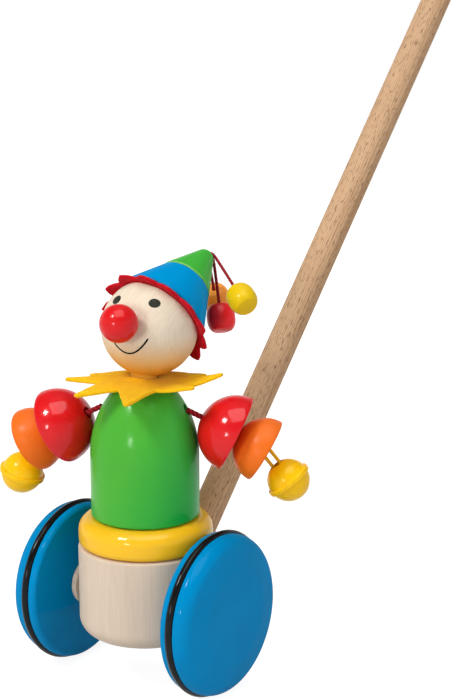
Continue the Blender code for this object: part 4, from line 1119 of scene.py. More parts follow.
def wheel_profile():
    """Crowned outer face, round shoulder, tyre groove, inner face and blind axle bore."""
    groove = TYRE_CORD_RADIUS + SEAT_GAP
    bevel = WHEEL_BEVEL
    shoulder = WHEEL_RADIUS - WHEEL_SHOULDER_ROUND
    past_face = shoulder + WHEEL_SHOULDER_ROUND * sin(bevel) - WHEEL_FACE_RADIUS
    shoulder_z = WHEEL_OUTER_DEPTH - WHEEL_SHOULDER_ROUND * cos(bevel) - past_face * tan(bevel)
    bore = AXLE_RADIUS + SEAT_GAP
    bore_end = WHEEL_BORE_DEPTH - WHEEL_INNER_DEPTH
    lip = acos((WHEEL_RADIUS - TYRE_CENTRE_RADIUS) / groove)
    crease = WHEEL_CREASE * tan(bevel / 2)
    profile = [(0.0, WHEEL_OUTER_DEPTH)]
    profile += arc(WHEEL_FACE_RADIUS - crease, WHEEL_OUTER_DEPTH - WHEEL_CREASE, WHEEL_CREASE, pi / 2,
                   pi / 2 - bevel, steps=5)
    profile += arc(shoulder, shoulder_z, WHEEL_SHOULDER_ROUND, pi / 2 - bevel, 0.0, steps=14)
    profile += arc(TYRE_CENTRE_RADIUS, 0.0, groove, lip, 2 * pi - lip, steps=16)
    profile += arc(WHEEL_RADIUS - WHEEL_INNER_ROUND, WHEEL_INNER_ROUND - WHEEL_INNER_DEPTH, WHEEL_INNER_ROUND,
                   0.0, -pi / 2, steps=8)
    profile += [(bore, -WHEEL_INNER_DEPTH), (bore, bore_end), (0.0, bore_end)]
    return profile


def make_wheels():
    spacer_outer = TRACK_HALF - WHEEL_INNER_DEPTH - SEAT_GAP
    spacer_inner = spacer_outer - SPACER_LENGTH
    bore = AXLE_RADIUS + SEAT_GAP
    spacer = rounded([(SPACER_RADIUS, spacer_outer, SPACER_EDGE_ROUND),
                      (SPACER_RADIUS, spacer_inner, SPACER_EDGE_ROUND),
                      (bore, spacer_inner, 0.0), (bore, spacer_outer, 0.0)], closed=True)
    tyre = arc(TYRE_CENTRE_RADIUS, 0.0, TYRE_CORD_RADIUS, pi / 2, -1.5 * pi, steps=24)[:-1]
    for side, sign in SIDE_SIGN.items():
        outward = along((sign, 0, 0))
        place = Matrix.Translation(AXLE_CENTRE + Vector((sign * TRACK_HALF, 0, 0))) @ outward
        turned("road_wheel_" + side, wheel_profile(), WHEEL_BLUE, "wheel_set", "blue_lacquer",
               "wheel_" + side, place)
        turned("rubber_ring_" + side, tyre, BLACK_RUBBER, "wheel_set", "black_rubber", "tyre_" + side, place,
               closed=True)
        turned("washer_" + side, spacer, MAPLE, "wheel_set", "maple_wood", "spacer_" + side,
               Matrix.Translation(AXLE_CENTRE) @ outward, SMALL_LATHE_STEPS, closed=True)


make_base()
make_stick()
make_wheels()


# Dowel, ring and body

def make_dowel():
    bottom = BASE_HEIGHT - DOWEL_IN_BASE
    top = HEAD_CENTRE.z - HEAD_RADIUS + DOWEL_IN_HEAD
    profile = rounded([(0.0, top, 0.0), (DOWEL_RADIUS, top, DOWEL_END_ROUND),
                       (DOWEL_RADIUS, bottom, DOWEL_END_ROUND), (0.0, bottom, 0.0)])
    turned("neck_dowel", profile, MAPLE_HEAD, "chassis", "maple_wood", "centre_dowel",
           steps=SMALL_LATHE_STEPS)


def make_ring():
    bore = DOWEL_RADIUS + RUNNING_CLEARANCE
    top = RING_BOTTOM + RING_HEIGHT
    profile = rounded([(RING_RADIUS, top, RING_TOP_ROUND), (RING_RADIUS, RING_BOTTOM, RING_FOOT_ROUND),
                       (bore, RING_BOTTOM, RING_BORE_ROUND), (bore, top, RING_BORE_ROUND)],
                      closed=True, steps=12)
    turned("hip_ring", profile, YELLOW, "torso", "yellow_lacquer", "waist_ring", TORSO_FRAME, closed=True)


def body_curve_drop(height):
    """How far the body's side has drawn in at a height above its straight part."""
    rise = max(height - BODY_STRAIGHT, 0.0)
    return BODY_CURVE_RADIUS - sqrt(BODY_CURVE_RADIUS ** 2 - rise ** 2)


def shoulder_point(azimuth):
    """Mouth of a shoulder hole on the body's side, in the torso's frame."""
    radius = BODY_RADIUS - body_curve_drop(SHOULDER_HEIGHT)
    return radius * heading(azimuth, 0.0) + Vector((0, 0, SHOULDER_Z))


def make_body():
    bore = DOWEL_RADIUS + RUNNING_CLEARANCE
    crown = BODY_HEIGHT - BODY_TOP_ROUND
    crown_radius = BODY_RADIUS - body_curve_drop(crown)
    profile = [(bore, BODY_TOP), (crown_radius - BODY_TOP_ROUND, BODY_TOP)]
    for step in range(CURVE_STEPS + 1):
        height = crown + (BODY_STRAIGHT - crown) * step / CURVE_STEPS
        profile.append((BODY_RADIUS - body_curve_drop(height), BODY_BOTTOM + height))
    profile += arc(BODY_RADIUS - BODY_FOOT_ROUND, BODY_BOTTOM + BODY_FOOT_ROUND, BODY_FOOT_ROUND, 0.0,
                   -pi / 2, steps=6)
    profile.append((bore, BODY_BOTTOM))
    cutters = []
    for azimuth in SHOULDER_AZIMUTH.values():
        outward = heading(azimuth, 0.0)
        mouth = shoulder_point(azimuth)
        cutters.append(cylinder_cutter(SHOULDER_HOLE_RADIUS, mouth - SHOULDER_HOLE_DEPTH * outward,
                                       mouth + BODY_RADIUS * outward, HOLE_STEPS))
    turned("bullet_body", profile, GREEN, "torso", "green_lacquer", "body", TORSO_FRAME, closed=True,
           cutters=cutters)


make_dowel()
make_ring()
make_body()


# Felt collar and hair

COLLAR_FLAT_RADIUS = BODY_RADIUS - body_curve_drop(BODY_HEIGHT - BODY_TOP_ROUND)


def tips_beside(tips, angle):
    """The two felt tips on either side of an angle, and the share of the way between them."""
    count = len(tips)
    for index in range(count):
        first = tips[index]
        second = tips[(index + 1) % count]
        span = (second[0] - first[0]) % (2 * pi)
        ahead = (angle - first[0]) % (2 * pi)
        if ahead <= span:
            return first, second, ahead / span
    return tips[0], tips[0], 0.0


def tip_weight(share):
    """How much the first of two tips counts on the way to the second."""
    return cos(pi * share) * 0.5 + 0.5


def tip_angles(tips, steps, start, count):
    """Angles from one felt tip on over a number of tips, with as many steps from each to the next."""
    angles = []
    for index in range(start, start + count):
        tip = tips[index % len(tips)]
        following = tips[(index + 1) % len(tips)]
        span = (following[0] - tip[0]) % (2 * pi)
        angles += [tip[0] + span * step / steps for step in range(steps)]
    return angles if count == len(tips) else angles + [following[0]]


def collar_edge(angle):
    """Star of straight-sided, blunt tips. Two that stand close have a shallow valley between them."""
    first, second, share = tips_beside(COLLAR_TIPS, angle)
    near = first if share < 0.5 else second
    span = (second[0] - first[0]) % (2 * pi)
    shallow = max(0.0, 1.0 - span * len(COLLAR_TIPS) / (2 * pi))
    valley = COLLAR_VALLEY_RADIUS + (near[1] - COLLAR_VALLEY_RADIUS) * shallow
    fall = max(1.0 - abs(1.0 - 2.0 * share) - COLLAR_TIP_BLUNT, 0.0) / (1.0 - COLLAR_TIP_BLUNT)
    half_span = span / 2
    turn = fall * half_span
    return near[1] * valley * sin(half_span) / (near[1] * sin(turn) + valley * sin(half_span - turn))


def collar_height(radius, angle):
    first, second, share = tips_beside(COLLAR_TIPS, angle)
    weight = tip_weight(share)
    tip_lift = first[2] * weight + second[2] * (1.0 - weight)
    reach = max(radius - COLLAR_FLAT_RADIUS, 0.0) / (max(first[1], second[1]) - COLLAR_FLAT_RADIUS)
    valley = -COLLAR_VALLEY_DROP * (1.0 - abs(1.0 - 2.0 * share)) * reach
    side = sin(pi * share) ** 2
    inwards = max(COLLAR_FLAT_RADIUS - radius, 0.0) / (COLLAR_FLAT_RADIUS - DOWEL_RADIUS - RUNNING_CLEARANCE)
    towards_front = (0.5 + 0.5 * cos(angle - COLLAR_FRONT)) ** COLLAR_FRONT_FOCUS
    neck = (COLLAR_NECK_RISE[0] + (COLLAR_NECK_RISE[1] - COLLAR_NECK_RISE[0]) * towards_front) * inwards ** 2
    lift = tip_lift * reach ** COLLAR_BEND * (1.0 - COLLAR_EASE_BETWEEN_TIPS * side)
    return BODY_TOP + SEAT_GAP + lift + valley + neck


def hair_edge(angle):
    """Petals between round and pointed that meet in sharp valleys."""
    first, second, share = tips_beside(HAIR_TIPS, angle)
    near = first if share < 0.5 else second
    round_share = abs(cos(pi * share))
    pointed_share = abs(1.0 - 2.0 * share)
    reach = round_share + (pointed_share - round_share) * HAIR_POINTED
    return HAIR_VALLEY_RADIUS + (near[1] - HAIR_VALLEY_RADIUS) * reach


def hair_height(radius, angle):
    """Flat under the hat, bending down past the rim of the head's seat."""
    first, second, share = tips_beside(HAIR_TIPS, angle)
    weight = tip_weight(share)
    reach = first[1] * weight + second[1] * (1.0 - weight)
    droop = first[2] * weight + second[2] * (1.0 - weight)
    past = max(radius - HAIR_FLAT_RADIUS, 0.0) / (reach - HAIR_FLAT_RADIUS)
    return HAIR_BOTTOM - droop * past ** HAIR_BEND


def ragged(edge_of):
    """The same outline with the small unevenness of cut felt."""
    def uneven_edge(angle):
        ripple = sum(sin(count * angle + offset) for count, offset in FELT_RIPPLES)
        return edge_of(angle) - FELT_RAGGED * (1.0 + ripple / len(FELT_RIPPLES))
    return uneven_edge


def felt_mesh(name, bore, flat, edge_of, height_of, thickness, angles, bends, whole):
    """Felt cut round a bore: underside out, round the cut edge and back over the top."""
    shape = bmesh.new()
    half = thickness / 2
    loops = []
    for angle in angles:
        edge = edge_of(angle) - half
        radii = [bore + (flat - bore) * step / FELT_FLAT_STEPS for step in range(FELT_FLAT_STEPS)]
        radii += [flat + (edge - flat) * step / bends for step in range(bends + 1)]
        section = [(r, height_of(r, angle)) for r in radii]
        rim_z = height_of(edge, angle) + half
        for step in range(1, FELT_RIM_STEPS):
            turn = -pi / 2 + pi * step / FELT_RIM_STEPS
            section.append((edge + half * cos(turn), rim_z + half * sin(turn)))
        section += [(r, height_of(r, angle) + thickness) for r in reversed(radii)]
        loops.append([shape.verts.new((r * cos(angle), r * sin(angle), z)) for r, z in section])
    following = loops[1:] + loops[:1] if whole else loops[1:]
    if not whole:
        shape.faces.new(loops[0])
        shape.faces.new(loops[-1])
    skin_rings(shape, loops, following)
    return finish_mesh(name, shape, FELT_SMOOTH_ANGLE)


def flat_area(edge_of, bore):
    """Area of the cut felt, laid flat."""
    turn = 2 * pi / FELT_AREA_STEPS
    return sum(0.5 * (edge_of(turn * k) ** 2 - bore ** 2) * turn for k in range(FELT_AREA_STEPS))


# Sockets of a Random Value node that hold single numbers
RANDOM_LEAST = 2
RANDOM_MOST = 3
RANDOM_RESULT = 1


def fibre_tree(name, material, bare_radius):
    """Loose fibres that stand out of a felt surface, as a node tree with named inputs.

    Within the bare radius of the vertical axis the felt lies pressed under the head and has none."""
    tree = bpy.data.node_groups.new(name, "GeometryNodeTree")
    tree.interface.new_socket("Geometry", in_out="INPUT", socket_type="NodeSocketGeometry")
    sizes = {"Density": FIBRE_DENSITY, "Fibre length": FIBRE_LENGTH, "Fibre radius": FIBRE_RADIUS,
             "Bare radius": bare_radius}
    for label, value in sizes.items():
        socket = tree.interface.new_socket(label, in_out="INPUT", socket_type="NodeSocketFloat")
        socket.default_value = value
    tree.interface.new_socket("Geometry", in_out="OUTPUT", socket_type="NodeSocketGeometry")
    start = tree.nodes.new("NodeGroupInput")
    end = tree.nodes.new("NodeGroupOutput")
    scatter = tree.nodes.new("GeometryNodeDistributePointsOnFaces")
    scatter.inputs["Seed"].default_value = SCATTER_SEED
    place = tree.nodes.new("GeometryNodeInputPosition")
    level = tree.nodes.new("ShaderNodeVectorMath")
    level.operation = "MULTIPLY"
    level.inputs[1].default_value = (1.0, 1.0, 0.0)
    reach = tree.nodes.new("ShaderNodeVectorMath")
    reach.operation = "LENGTH"
    outside = tree.nodes.new("FunctionNodeCompare")
    outside.data_type = "FLOAT"
    outside.operation = "GREATER_THAN"
    fibre = tree.nodes.new("GeometryNodeMeshCone")
    fibre.fill_type = "NONE"
    fibre.inputs["Vertices"].default_value = FIBRE_SIDES
    lean = tree.nodes.new("FunctionNodeRandomValue")
    lean.data_type = "FLOAT_VECTOR"
    lean.inputs["Min"].default_value = -FIBRE_LEAN
    lean.inputs["Max"].default_value = FIBRE_LEAN
    lean.inputs["Seed"].default_value = LEAN_SEED
    turn = tree.nodes.new("FunctionNodeRotateRotation")
    turn.rotation_space = "LOCAL"
    as_turn = tree.nodes.new("FunctionNodeEulerToRotation")
    stand = tree.nodes.new("GeometryNodeInstanceOnPoints")
    stretch = tree.nodes.new("FunctionNodeRandomValue")
    stretch.data_type = "FLOAT"
    stretch.inputs[RANDOM_LEAST].default_value = FIBRE_SHORTEST
    stretch.inputs[RANDOM_MOST].default_value = 1.0
    real = tree.nodes.new("GeometryNodeRealizeInstances")
    paint = tree.nodes.new("GeometryNodeSetMaterial")
    paint.inputs["Material"].default_value = material
    links = (
        (start, "Geometry", scatter, "Mesh"),
        (start, "Density", scatter, "Density"),
        (place, "Position", level, 0),
        (level, "Vector", reach, 0),
        (reach, "Value", outside, "A"),
        (start, "Bare radius", outside, "B"),
        (outside, "Result", scatter, "Selection"),
        (start, "Fibre length", fibre, "Depth"),
        (start, "Fibre radius", fibre, "Radius Bottom"),
        (scatter, "Points", stand, "Points"),
        (fibre, "Mesh", stand, "Instance"),
        (lean, "Value", as_turn, "Euler"),
        (scatter, "Rotation", turn, "Rotation"),
        (as_turn, "Rotation", turn, "Rotate By"),
        (turn, "Rotation", stand, "Rotation"),
        (stretch, RANDOM_RESULT, stand, "Scale"),
        (stand, "Instances", real, "Geometry"),
        (real, "Geometry", paint, "Geometry"),
        (paint, "Geometry", end, "Geometry"),
    )
    for source, output, target, name_in in links:
        tree.links.new(source.outputs[output], target.inputs[name_in])
    return tree


def loose_fibres(name, surface, material, bare_radius=0.0):
    """Fibre mesh grown from a felt piece by its node tree."""
    grower = bpy.data.objects.new(name + "_grower", surface.data.copy())
    bpy.context.scene.collection.objects.link(grower)
    modifier = grower.modifiers.new("fibres", "NODES")
    modifier.node_group = fibre_tree(name + "_tree", material, bare_radius)
    bpy.context.view_layer.update()
    graph = bpy.context.evaluated_depsgraph_get()
    mesh = bpy.data.meshes.new_from_object(grower.evaluated_get(graph))
    bpy.data.objects.remove(grower, do_unlink=True)
    piece = bpy.data.objects.new(name, mesh)
    bpy.context.scene.collection.objects.link(piece)
    return piece


def make_collar():
    """One felt star, in two halves that meet along two tips."""
    bore = DOWEL_RADIUS + RUNNING_CLEARANCE
    count = len(COLLAR_TIPS) // 2
    for side, shoulder in SHOULDER_AZIMUTH.items():
        angles = tip_angles(COLLAR_TIPS, COLLAR_STEPS_PER_TIP, COLLAR_HALVES[side], count)
        mesh = felt_mesh("felt_collar_" + side, bore, COLLAR_FLAT_RADIUS, ragged(collar_edge), collar_height,
                         COLLAR_THICKNESS, angles, COLLAR_BEND_STEPS, whole=False)
        half = link_piece("felt_collar_" + side, mesh, YELLOW_FELT, TORSO_FRAME)
        fuzz = loose_fibres("collar_fibres_" + side, half, YELLOW_FELT, COLLAR_BARE_RADIUS)
        for piece in (half, fuzz):
            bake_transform(piece)
        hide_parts("collar")
        flat_area(collar_edge, bore) / 2


def make_hair():
    bore = HAT_PEG_RADIUS + SEAT_GAP
    angles = tip_angles(HAIR_TIPS, HAIR_STEPS_PER_TIP, 0, len(HAIR_TIPS))
    mesh = felt_mesh("felt_hair", bore, HAIR_FLAT_RADIUS, ragged(hair_edge), hair_height, HAIR_THICKNESS,
                     angles, HAIR_BEND_STEPS, whole=True)
    hair = dress(link_piece("felt_hair", mesh, RED_FELT, HAT_FRAME), "chassis", "red_felt", "hair")
    fuzz = dress(loose_fibres("hair_fibres", hair, RED_FELT), "chassis", "red_felt")
    flat_area(hair_edge, bore)


# Head, face and hat

def make_head():
    seat_angle = asin(HAT_SEAT_HEIGHT / HEAD_RADIUS)
    profile = [(0.0, HAT_SEAT_HEIGHT)] + arc(0.0, 0.0, HEAD_RADIUS, seat_angle, -pi / 2, steps=56)
    profile[-1] = (0.0, -HEAD_RADIUS)
    to_local = HAT_FRAME.inverted()
    neck_bottom = to_local @ Vector((0, 0, HEAD_CENTRE.z - 2 * HEAD_RADIUS))
    neck_top = to_local @ Vector((0, 0, HEAD_CENTRE.z - HEAD_RADIUS + DOWEL_IN_HEAD + SEAT_GAP))
    face_local = to_local.to_3x3() @ NOSE_DIRECTION
    cutters = [
        cylinder_cutter(DOWEL_RADIUS + SEAT_GAP, neck_bottom, neck_top),
        cylinder_cutter(NOSE_PEG_RADIUS + SEAT_GAP, (HEAD_RADIUS - NOSE_PEG_HALF) * face_local,
                        2 * HEAD_RADIUS * face_local, PEG_HOLE_STEPS),
        cylinder_cutter(HAT_PEG_RADIUS + SEAT_GAP, (0, 0, HAT_PEG_BOTTOM - SEAT_GAP),
                        (0, 0, 2 * HEAD_RADIUS), PEG_HOLE_STEPS),
    ]
    turned("ball_head", profile, MAPLE_HEAD, "chassis", "maple_wood", "head", HAT_FRAME, HEAD_LATHE_STEPS,
           cutters=cutters)


def make_nose():
    place = Matrix.Translation(HEAD_CENTRE) @ along(NOSE_DIRECTION)
    profile = arc(0.0, NOSE_REACH, NOSE_RADIUS, pi / 2, -pi / 2, CURVE_STEPS)
    profile[0] = (0.0, NOSE_REACH + NOSE_RADIUS)
    profile[-1] = (0.0, NOSE_REACH - NOSE_RADIUS)
    seat = lathe_mesh("seat", [(0.0, HEAD_RADIUS + SEAT_GAP)]
                      + arc(0.0, 0.0, HEAD_RADIUS + SEAT_GAP, pi / 2, -pi / 2, steps=60)[1:-1]
                      + [(0.0, -HEAD_RADIUS - SEAT_GAP)], SEAT_LATHE_STEPS)
    bore = cylinder_cutter(NOSE_PEG_RADIUS + SEAT_GAP, (0, 0, HEAD_RADIUS - NOSE_PEG_HALF),
                           (0, 0, HEAD_RADIUS + NOSE_PEG_HALF), PEG_HOLE_STEPS)
    turned("ball_nose", profile, NOSE_RED, "chassis", "red_lacquer", "nose", place, NOSE_LATHE_STEPS,
           cutters=[seat, bore])


def head_point(turn, rise, lift):
    """Point off the head's skin by a lift, at a turn from the face's middle and a rise."""
    return HEAD_CENTRE + (HEAD_RADIUS + lift) * heading(-pi / 2 + FACE_TURN + turn, rise)


def paint_patch(name, rows, finish):
    """Thin skin of paint over rows of (turn, rise) places on the head, closed underneath."""
    shape = bmesh.new()
    tops = [[shape.verts.new(head_point(t, r, PAINT_THICKNESS)) for t, r in row] for row in rows]
    lows = [[shape.verts.new(head_point(t, r, -PAINT_THICKNESS)) for t, r in row] for row in rows]
    for first, second in zip(range(len(rows)), range(1, len(rows))):
        for k in range(len(rows[0]) - 1):
            for skin in (tops, lows):
                corners = [skin[first][k], skin[first][k + 1], skin[second][k + 1], skin[second][k]]
                shape.faces.new(corners)
    rim = [(r, 0) for r in range(len(rows))] + [(len(rows) - 1, k) for k in range(1, len(rows[0]))]
    rim += [(r, len(rows[0]) - 1) for r in range(len(rows) - 2, -1, -1)]
    rim += [(0, k) for k in range(len(rows[0]) - 2, 0, -1)]
    for here, after in zip(rim, rim[1:] + rim[:1]):
        shape.faces.new([tops[here[0]][here[1]], tops[after[0]][after[1]], lows[after[0]][after[1]],
                         lows[here[0]][here[1]]])
    bmesh.ops.remove_doubles(shape, verts=shape.verts, dist=PAINT_MERGE)
    bmesh.ops.dissolve_degenerate(shape, edges=shape.edges, dist=PAINT_SLIVER)
    return dress(link_piece(name, finish_mesh(name, shape), finish), "chassis", "maple_wood")


def make_face():
    for side, sign in SIDE_SIGN.items():
        rows = []
        for i in range(EYE_ROWS + 1):
            across = cos(pi * i / EYE_ROWS)
            half = sqrt(max(1.0 - across ** 2, 0.0)) * EYE_HALF_HEIGHT / HEAD_RADIUS
            turn = sign * EYE_SPREAD + across * EYE_HALF_WIDTH / (HEAD_RADIUS * cos(EYE_HEIGHT))
            rows.append([(turn, EYE_HEIGHT + half * (2.0 * k / EYE_COLUMNS - 1.0))
                         for k in range(EYE_COLUMNS + 1)])
        paint_patch("painted_eye_" + side, rows, EYE_PAINT)
    rows = []
    for i in range(SMILE_ROWS + 1):
        share = 2.0 * i / SMILE_ROWS - 1.0
        past = max(abs(share) - SMILE_TAPER_START, 0.0) / (1.0 - SMILE_TAPER_START)
        taper = sqrt(max(1.0 - past ** 2, 0.0))
        turn = share * SMILE_HALF_SPREAD
        rise = SMILE_LOW + SMILE_RISE * share ** 2
        slope = atan2(2.0 * SMILE_RISE * share, SMILE_HALF_SPREAD)
        half = taper * SMILE_HALF_WIDTH / HEAD_RADIUS
        rows.append([(turn - sin(slope) * half * k, rise + cos(slope) * half * k)
                     for k in SMILE_COLUMNS])
    paint_patch("painted_smile", rows, SMILE_PAINT)


def make_hat():
    top = HAT_BOTTOM + HAT_LOWER_HEIGHT
    peg_bore = HAT_PEG_RADIUS + SEAT_GAP
    peg_top = HAT_PEG_BOTTOM + HAT_PEG_LENGTH + SEAT_GAP
    socket = TIP_PEG_RADIUS + SEAT_GAP
    socket_floor = top - TIP_PEG_LENGTH - SEAT_GAP
    profile = rounded([(0.0, socket_floor, 0.0), (socket, socket_floor, 0.0), (socket, top, 0.0),
                       (HAT_STEP_RADIUS, top, HAT_LIP_ROUND), (HAT_RADIUS, HAT_BOTTOM, HAT_LIP_ROUND),
                       (peg_bore, HAT_BOTTOM, 0.0), (peg_bore, peg_top, 0.0), (0.0, peg_top, 0.0)])
    turned("hat_cone", profile, BLUE, "chassis", "blue_lacquer", "hat", HAT_FRAME)


def tip_half_angle():
    """Slope of the hat tip's side, so that it runs smoothly into the round end."""
    low, high = TIP_SLOPE_RANGE
    for _ in range(TIP_SLOPE_HALVINGS):
        angle = (low + high) / 2
        side = HAT_TIP_ROUND * cos(angle) + (HAT_TIP_HEIGHT - HAT_TIP_ROUND * (1 - sin(angle))) * tan(angle)
        if side < HAT_TIP_BASE_RADIUS:
            low = angle
        else:
            high = angle
    return angle


def make_hat_tip():
    slope = tip_half_angle()
    corners = arc_corners(HAT_TIP_ROUND, TIP_TOP - HAT_TIP_ROUND, pi / 2, slope, steps=20)
    corners[0] = (0.0, TIP_TOP, 0.0)
    corners += [(HAT_TIP_BASE_RADIUS, TIP_BOTTOM, HAT_LIP_ROUND), (TIP_PEG_RADIUS, TIP_BOTTOM, 0.0),
                (TIP_PEG_RADIUS, TIP_BOTTOM - TIP_PEG_LENGTH, TIP_PEG_ROUND),
                (0.0, TIP_BOTTOM - TIP_PEG_LENGTH, 0.0)]
    to_local = HAT_FRAME.inverted()
    hole_floor = to_local @ (TASSEL_MOUTH - TASSEL_HOLE_DEPTH * TASSEL_DIRECTION)
    outside = to_local @ (TASSEL_MOUTH + HAT_TIP_ROUND * TASSEL_DIRECTION)
    hole = cylinder_cutter(TASSEL_HOLE_RADIUS, hole_floor, outside, HOLE_STEPS)
    turned("hat_point", rounded(corners), GREEN_TIP, "chassis", "green_lacquer", "hat_tip", HAT_FRAME,
           cutters=[hole])


make_collar()
make_head()
make_nose()
make_face()
make_hair()
make_hat()
make_hat_tip()


# Arms and bells

ARM_REACH_LOWER = SEAT_GAP + LOWER_BALL_RADIUS


def half_ball_profile(radius, mouth_radius=0.0, recess_radius=0.0, recess_depth=0.0):
    """Half ball with its dome at the bottom: a cord bore, a wider mouth where the cord goes into
    the dome, and a recess in the flat face."""
    bore = ARM_CORD_RADIUS + ARM_CORD_CLEARANCE
    edge = BALL_EDGE_ROUND
    mouth = max(mouth_radius, bore)
    corners = [(radius - edge * BALL_EDGE_INSET_SHARE, radius, edge)]
    corners += arc_corners(radius, radius, -asin(edge / radius), -pi / 2 + asin(mouth / radius), steps=36)
    if mouth > bore:
        corners += [(mouth, CORD_MOUTH_DEPTH, 0.0), (bore, CORD_MOUTH_DEPTH, 0.0)]
    if recess_radius > bore:
        floor = radius - recess_depth
        corners += [(bore, floor, 0.0), (recess_radius, floor, RECESS_FLOOR_ROUND),
                    (recess_radius, radius, RECESS_EDGE_ROUND)]
    else:
        corners.append((bore, radius, RECESS_EDGE_ROUND))
    return rounded(corners, closed=True)


def bell_upper_profile():
    """Upper half shell with the flange that is pressed against the lower half."""
    inner = BELL_RADIUS - BELL_WALL
    hole = BELL_TOP_HOLE_RADIUS
    flange = BELL_FLANGE_HALF
    corners = arc_corners(BELL_RADIUS, 0.0, pi / 2 - asin(hole / BELL_RADIUS),
                          asin((flange + BELL_FLANGE_SPACE) / BELL_RADIUS), BELL_OUTER_STEPS)
    corners += [(BELL_RADIUS, flange, BELL_FLANGE_FILLET), (BELL_FLANGE_RADIUS, flange, BELL_FLANGE_ROUND),
                (BELL_FLANGE_RADIUS, BELL_SEAM_HALF, 0.0), (inner, BELL_SEAM_HALF, 0.0)]
    corners += arc_corners(inner, 0.0, asin(flange / inner), pi / 2 - asin(hole / inner), BELL_INNER_STEPS)
    return rounded(corners, closed=True, steps=4)


def bell_lower_profile():
    """Lower half shell, up its inner side, out over its flange and down its outer side."""
    inner = BELL_RADIUS - BELL_WALL
    flange = BELL_FLANGE_HALF
    corners = arc_corners(inner, 0.0, -pi / 2, -asin(flange / inner), BELL_INNER_STEPS)
    corners[0] = (0.0, -inner, 0.0)
    corners += [(inner, -BELL_SEAM_HALF, 0.0), (BELL_FLANGE_RADIUS, -BELL_SEAM_HALF, 0.0),
                (BELL_FLANGE_RADIUS, -flange, BELL_FLANGE_ROUND), (BELL_RADIUS, -flange, BELL_FLANGE_FILLET)]
    corners += arc_corners(BELL_RADIUS, 0.0, -asin((flange + BELL_FLANGE_SPACE) / BELL_RADIUS), -pi / 2,
                           BELL_OUTER_STEPS)
    corners[-1] = (0.0, -BELL_RADIUS, 0.0)
    return rounded(corners, steps=4)


def slot_cutters():
    """Long slot with a round hole at each end, through the bottom of a bell."""
    half = BELL_SLOT_LENGTH / 2
    shape = bmesh.new()
    bmesh.ops.create_cube(shape, size=1.0)
    width = BELL_SLOT_WIDTH * BELL_SLOT_OPEN_SHARE
    bmesh.ops.scale(shape, vec=(width, BELL_SLOT_LENGTH, BELL_RADIUS), verts=shape.verts)
    bmesh.ops.translate(shape, vec=(0, 0, -BELL_RADIUS), verts=shape.verts)
    slot = finish_mesh("slot", shape)
    holes = [cylinder_cutter(BELL_SLOT_END_RADIUS, (0, y, -2 * BELL_RADIUS), (0, y, -BELL_RADIUS / 2),
                             PEG_HOLE_STEPS) for y in (-half, half)]
    return [slot] + holes


def bell_loop_path():
    """Middle line of the wire loop: an arch inside the hand and two legs into the bell."""
    half = BELL_LOOP_HALF
    foot = -BELL_HANG + BELL_RADIUS - BELL_WALL - BELL_LOOP_WIRE_RADIUS
    shoulder = BELL_LOOP_RISE - half
    leg = [Vector((0, half, foot + (shoulder - foot) * step / LOOP_LEG_STEPS))
           for step in range(LOOP_LEG_STEPS)]
    arch = [Vector((0, y, shoulder + z)) for y, z in arc(0.0, 0.0, half, 0.0, pi, LOOP_ARCH_STEPS)]
    return_leg = [Vector((0, -half, shoulder + (foot - shoulder) * step / LOOP_LEG_STEPS))
                  for step in range(1, LOOP_LEG_STEPS + 1)]
    return leg + arch + return_leg


def wire_section():
    return arc(0.0, 0.0, BELL_LOOP_WIRE_RADIUS, 0.0, 2 * pi, WIRE_SIDES)[:-1]


def make_bell(side, place):
    body = "bell_" + side
    centre = place @ Matrix.Translation((0, 0, -BELL_HANG))
    turned("bell_cap_" + side, bell_upper_profile(), BELL, body, "yellow_bell", "bell_upper_" + side, centre,
           BELL_LATHE_STEPS, closed=True)
    turned("bell_cup_" + side, bell_lower_profile(), BELL, body, "yellow_bell", "bell_lower_" + side, centre,
           BELL_LATHE_STEPS, cutters=slot_cutters())
    mesh = swept_mesh("bell_wire_" + side, bell_loop_path(), wire_section(), Vector((1, 0, 0)))
    dress(link_piece("bell_wire_" + side, mesh, BELL, place), body, "yellow_bell", "bell_loop_" + side)


def arm_strand(name, place, start, end, body, node):
    """Straight piece of arm cord between two points of a frame."""
    points = [place @ (start + (end - start) * step / ARM_CORD_STEPS) for step in range(ARM_CORD_STEPS + 1)]
    mesh = strand_mesh(name, points, ARM_CORD_RADIUS, ARM_CORD_PITCH)
    dress(link_piece(name, mesh, CORD), body, "dark_red_cord", node)


def hand_cord_stop(side):
    """How far short of the hand's flat face its cord ends, just clear of the bell's loop."""
    bend = BELL_DROOP[side] - HAND_DROOP
    arch = BELL_LOOP_HALF + BELL_LOOP_WIRE_RADIUS
    return (BELL_LOOP_RISE - BELL_LOOP_HALF) * cos(bend) + arch + SEAT_GAP


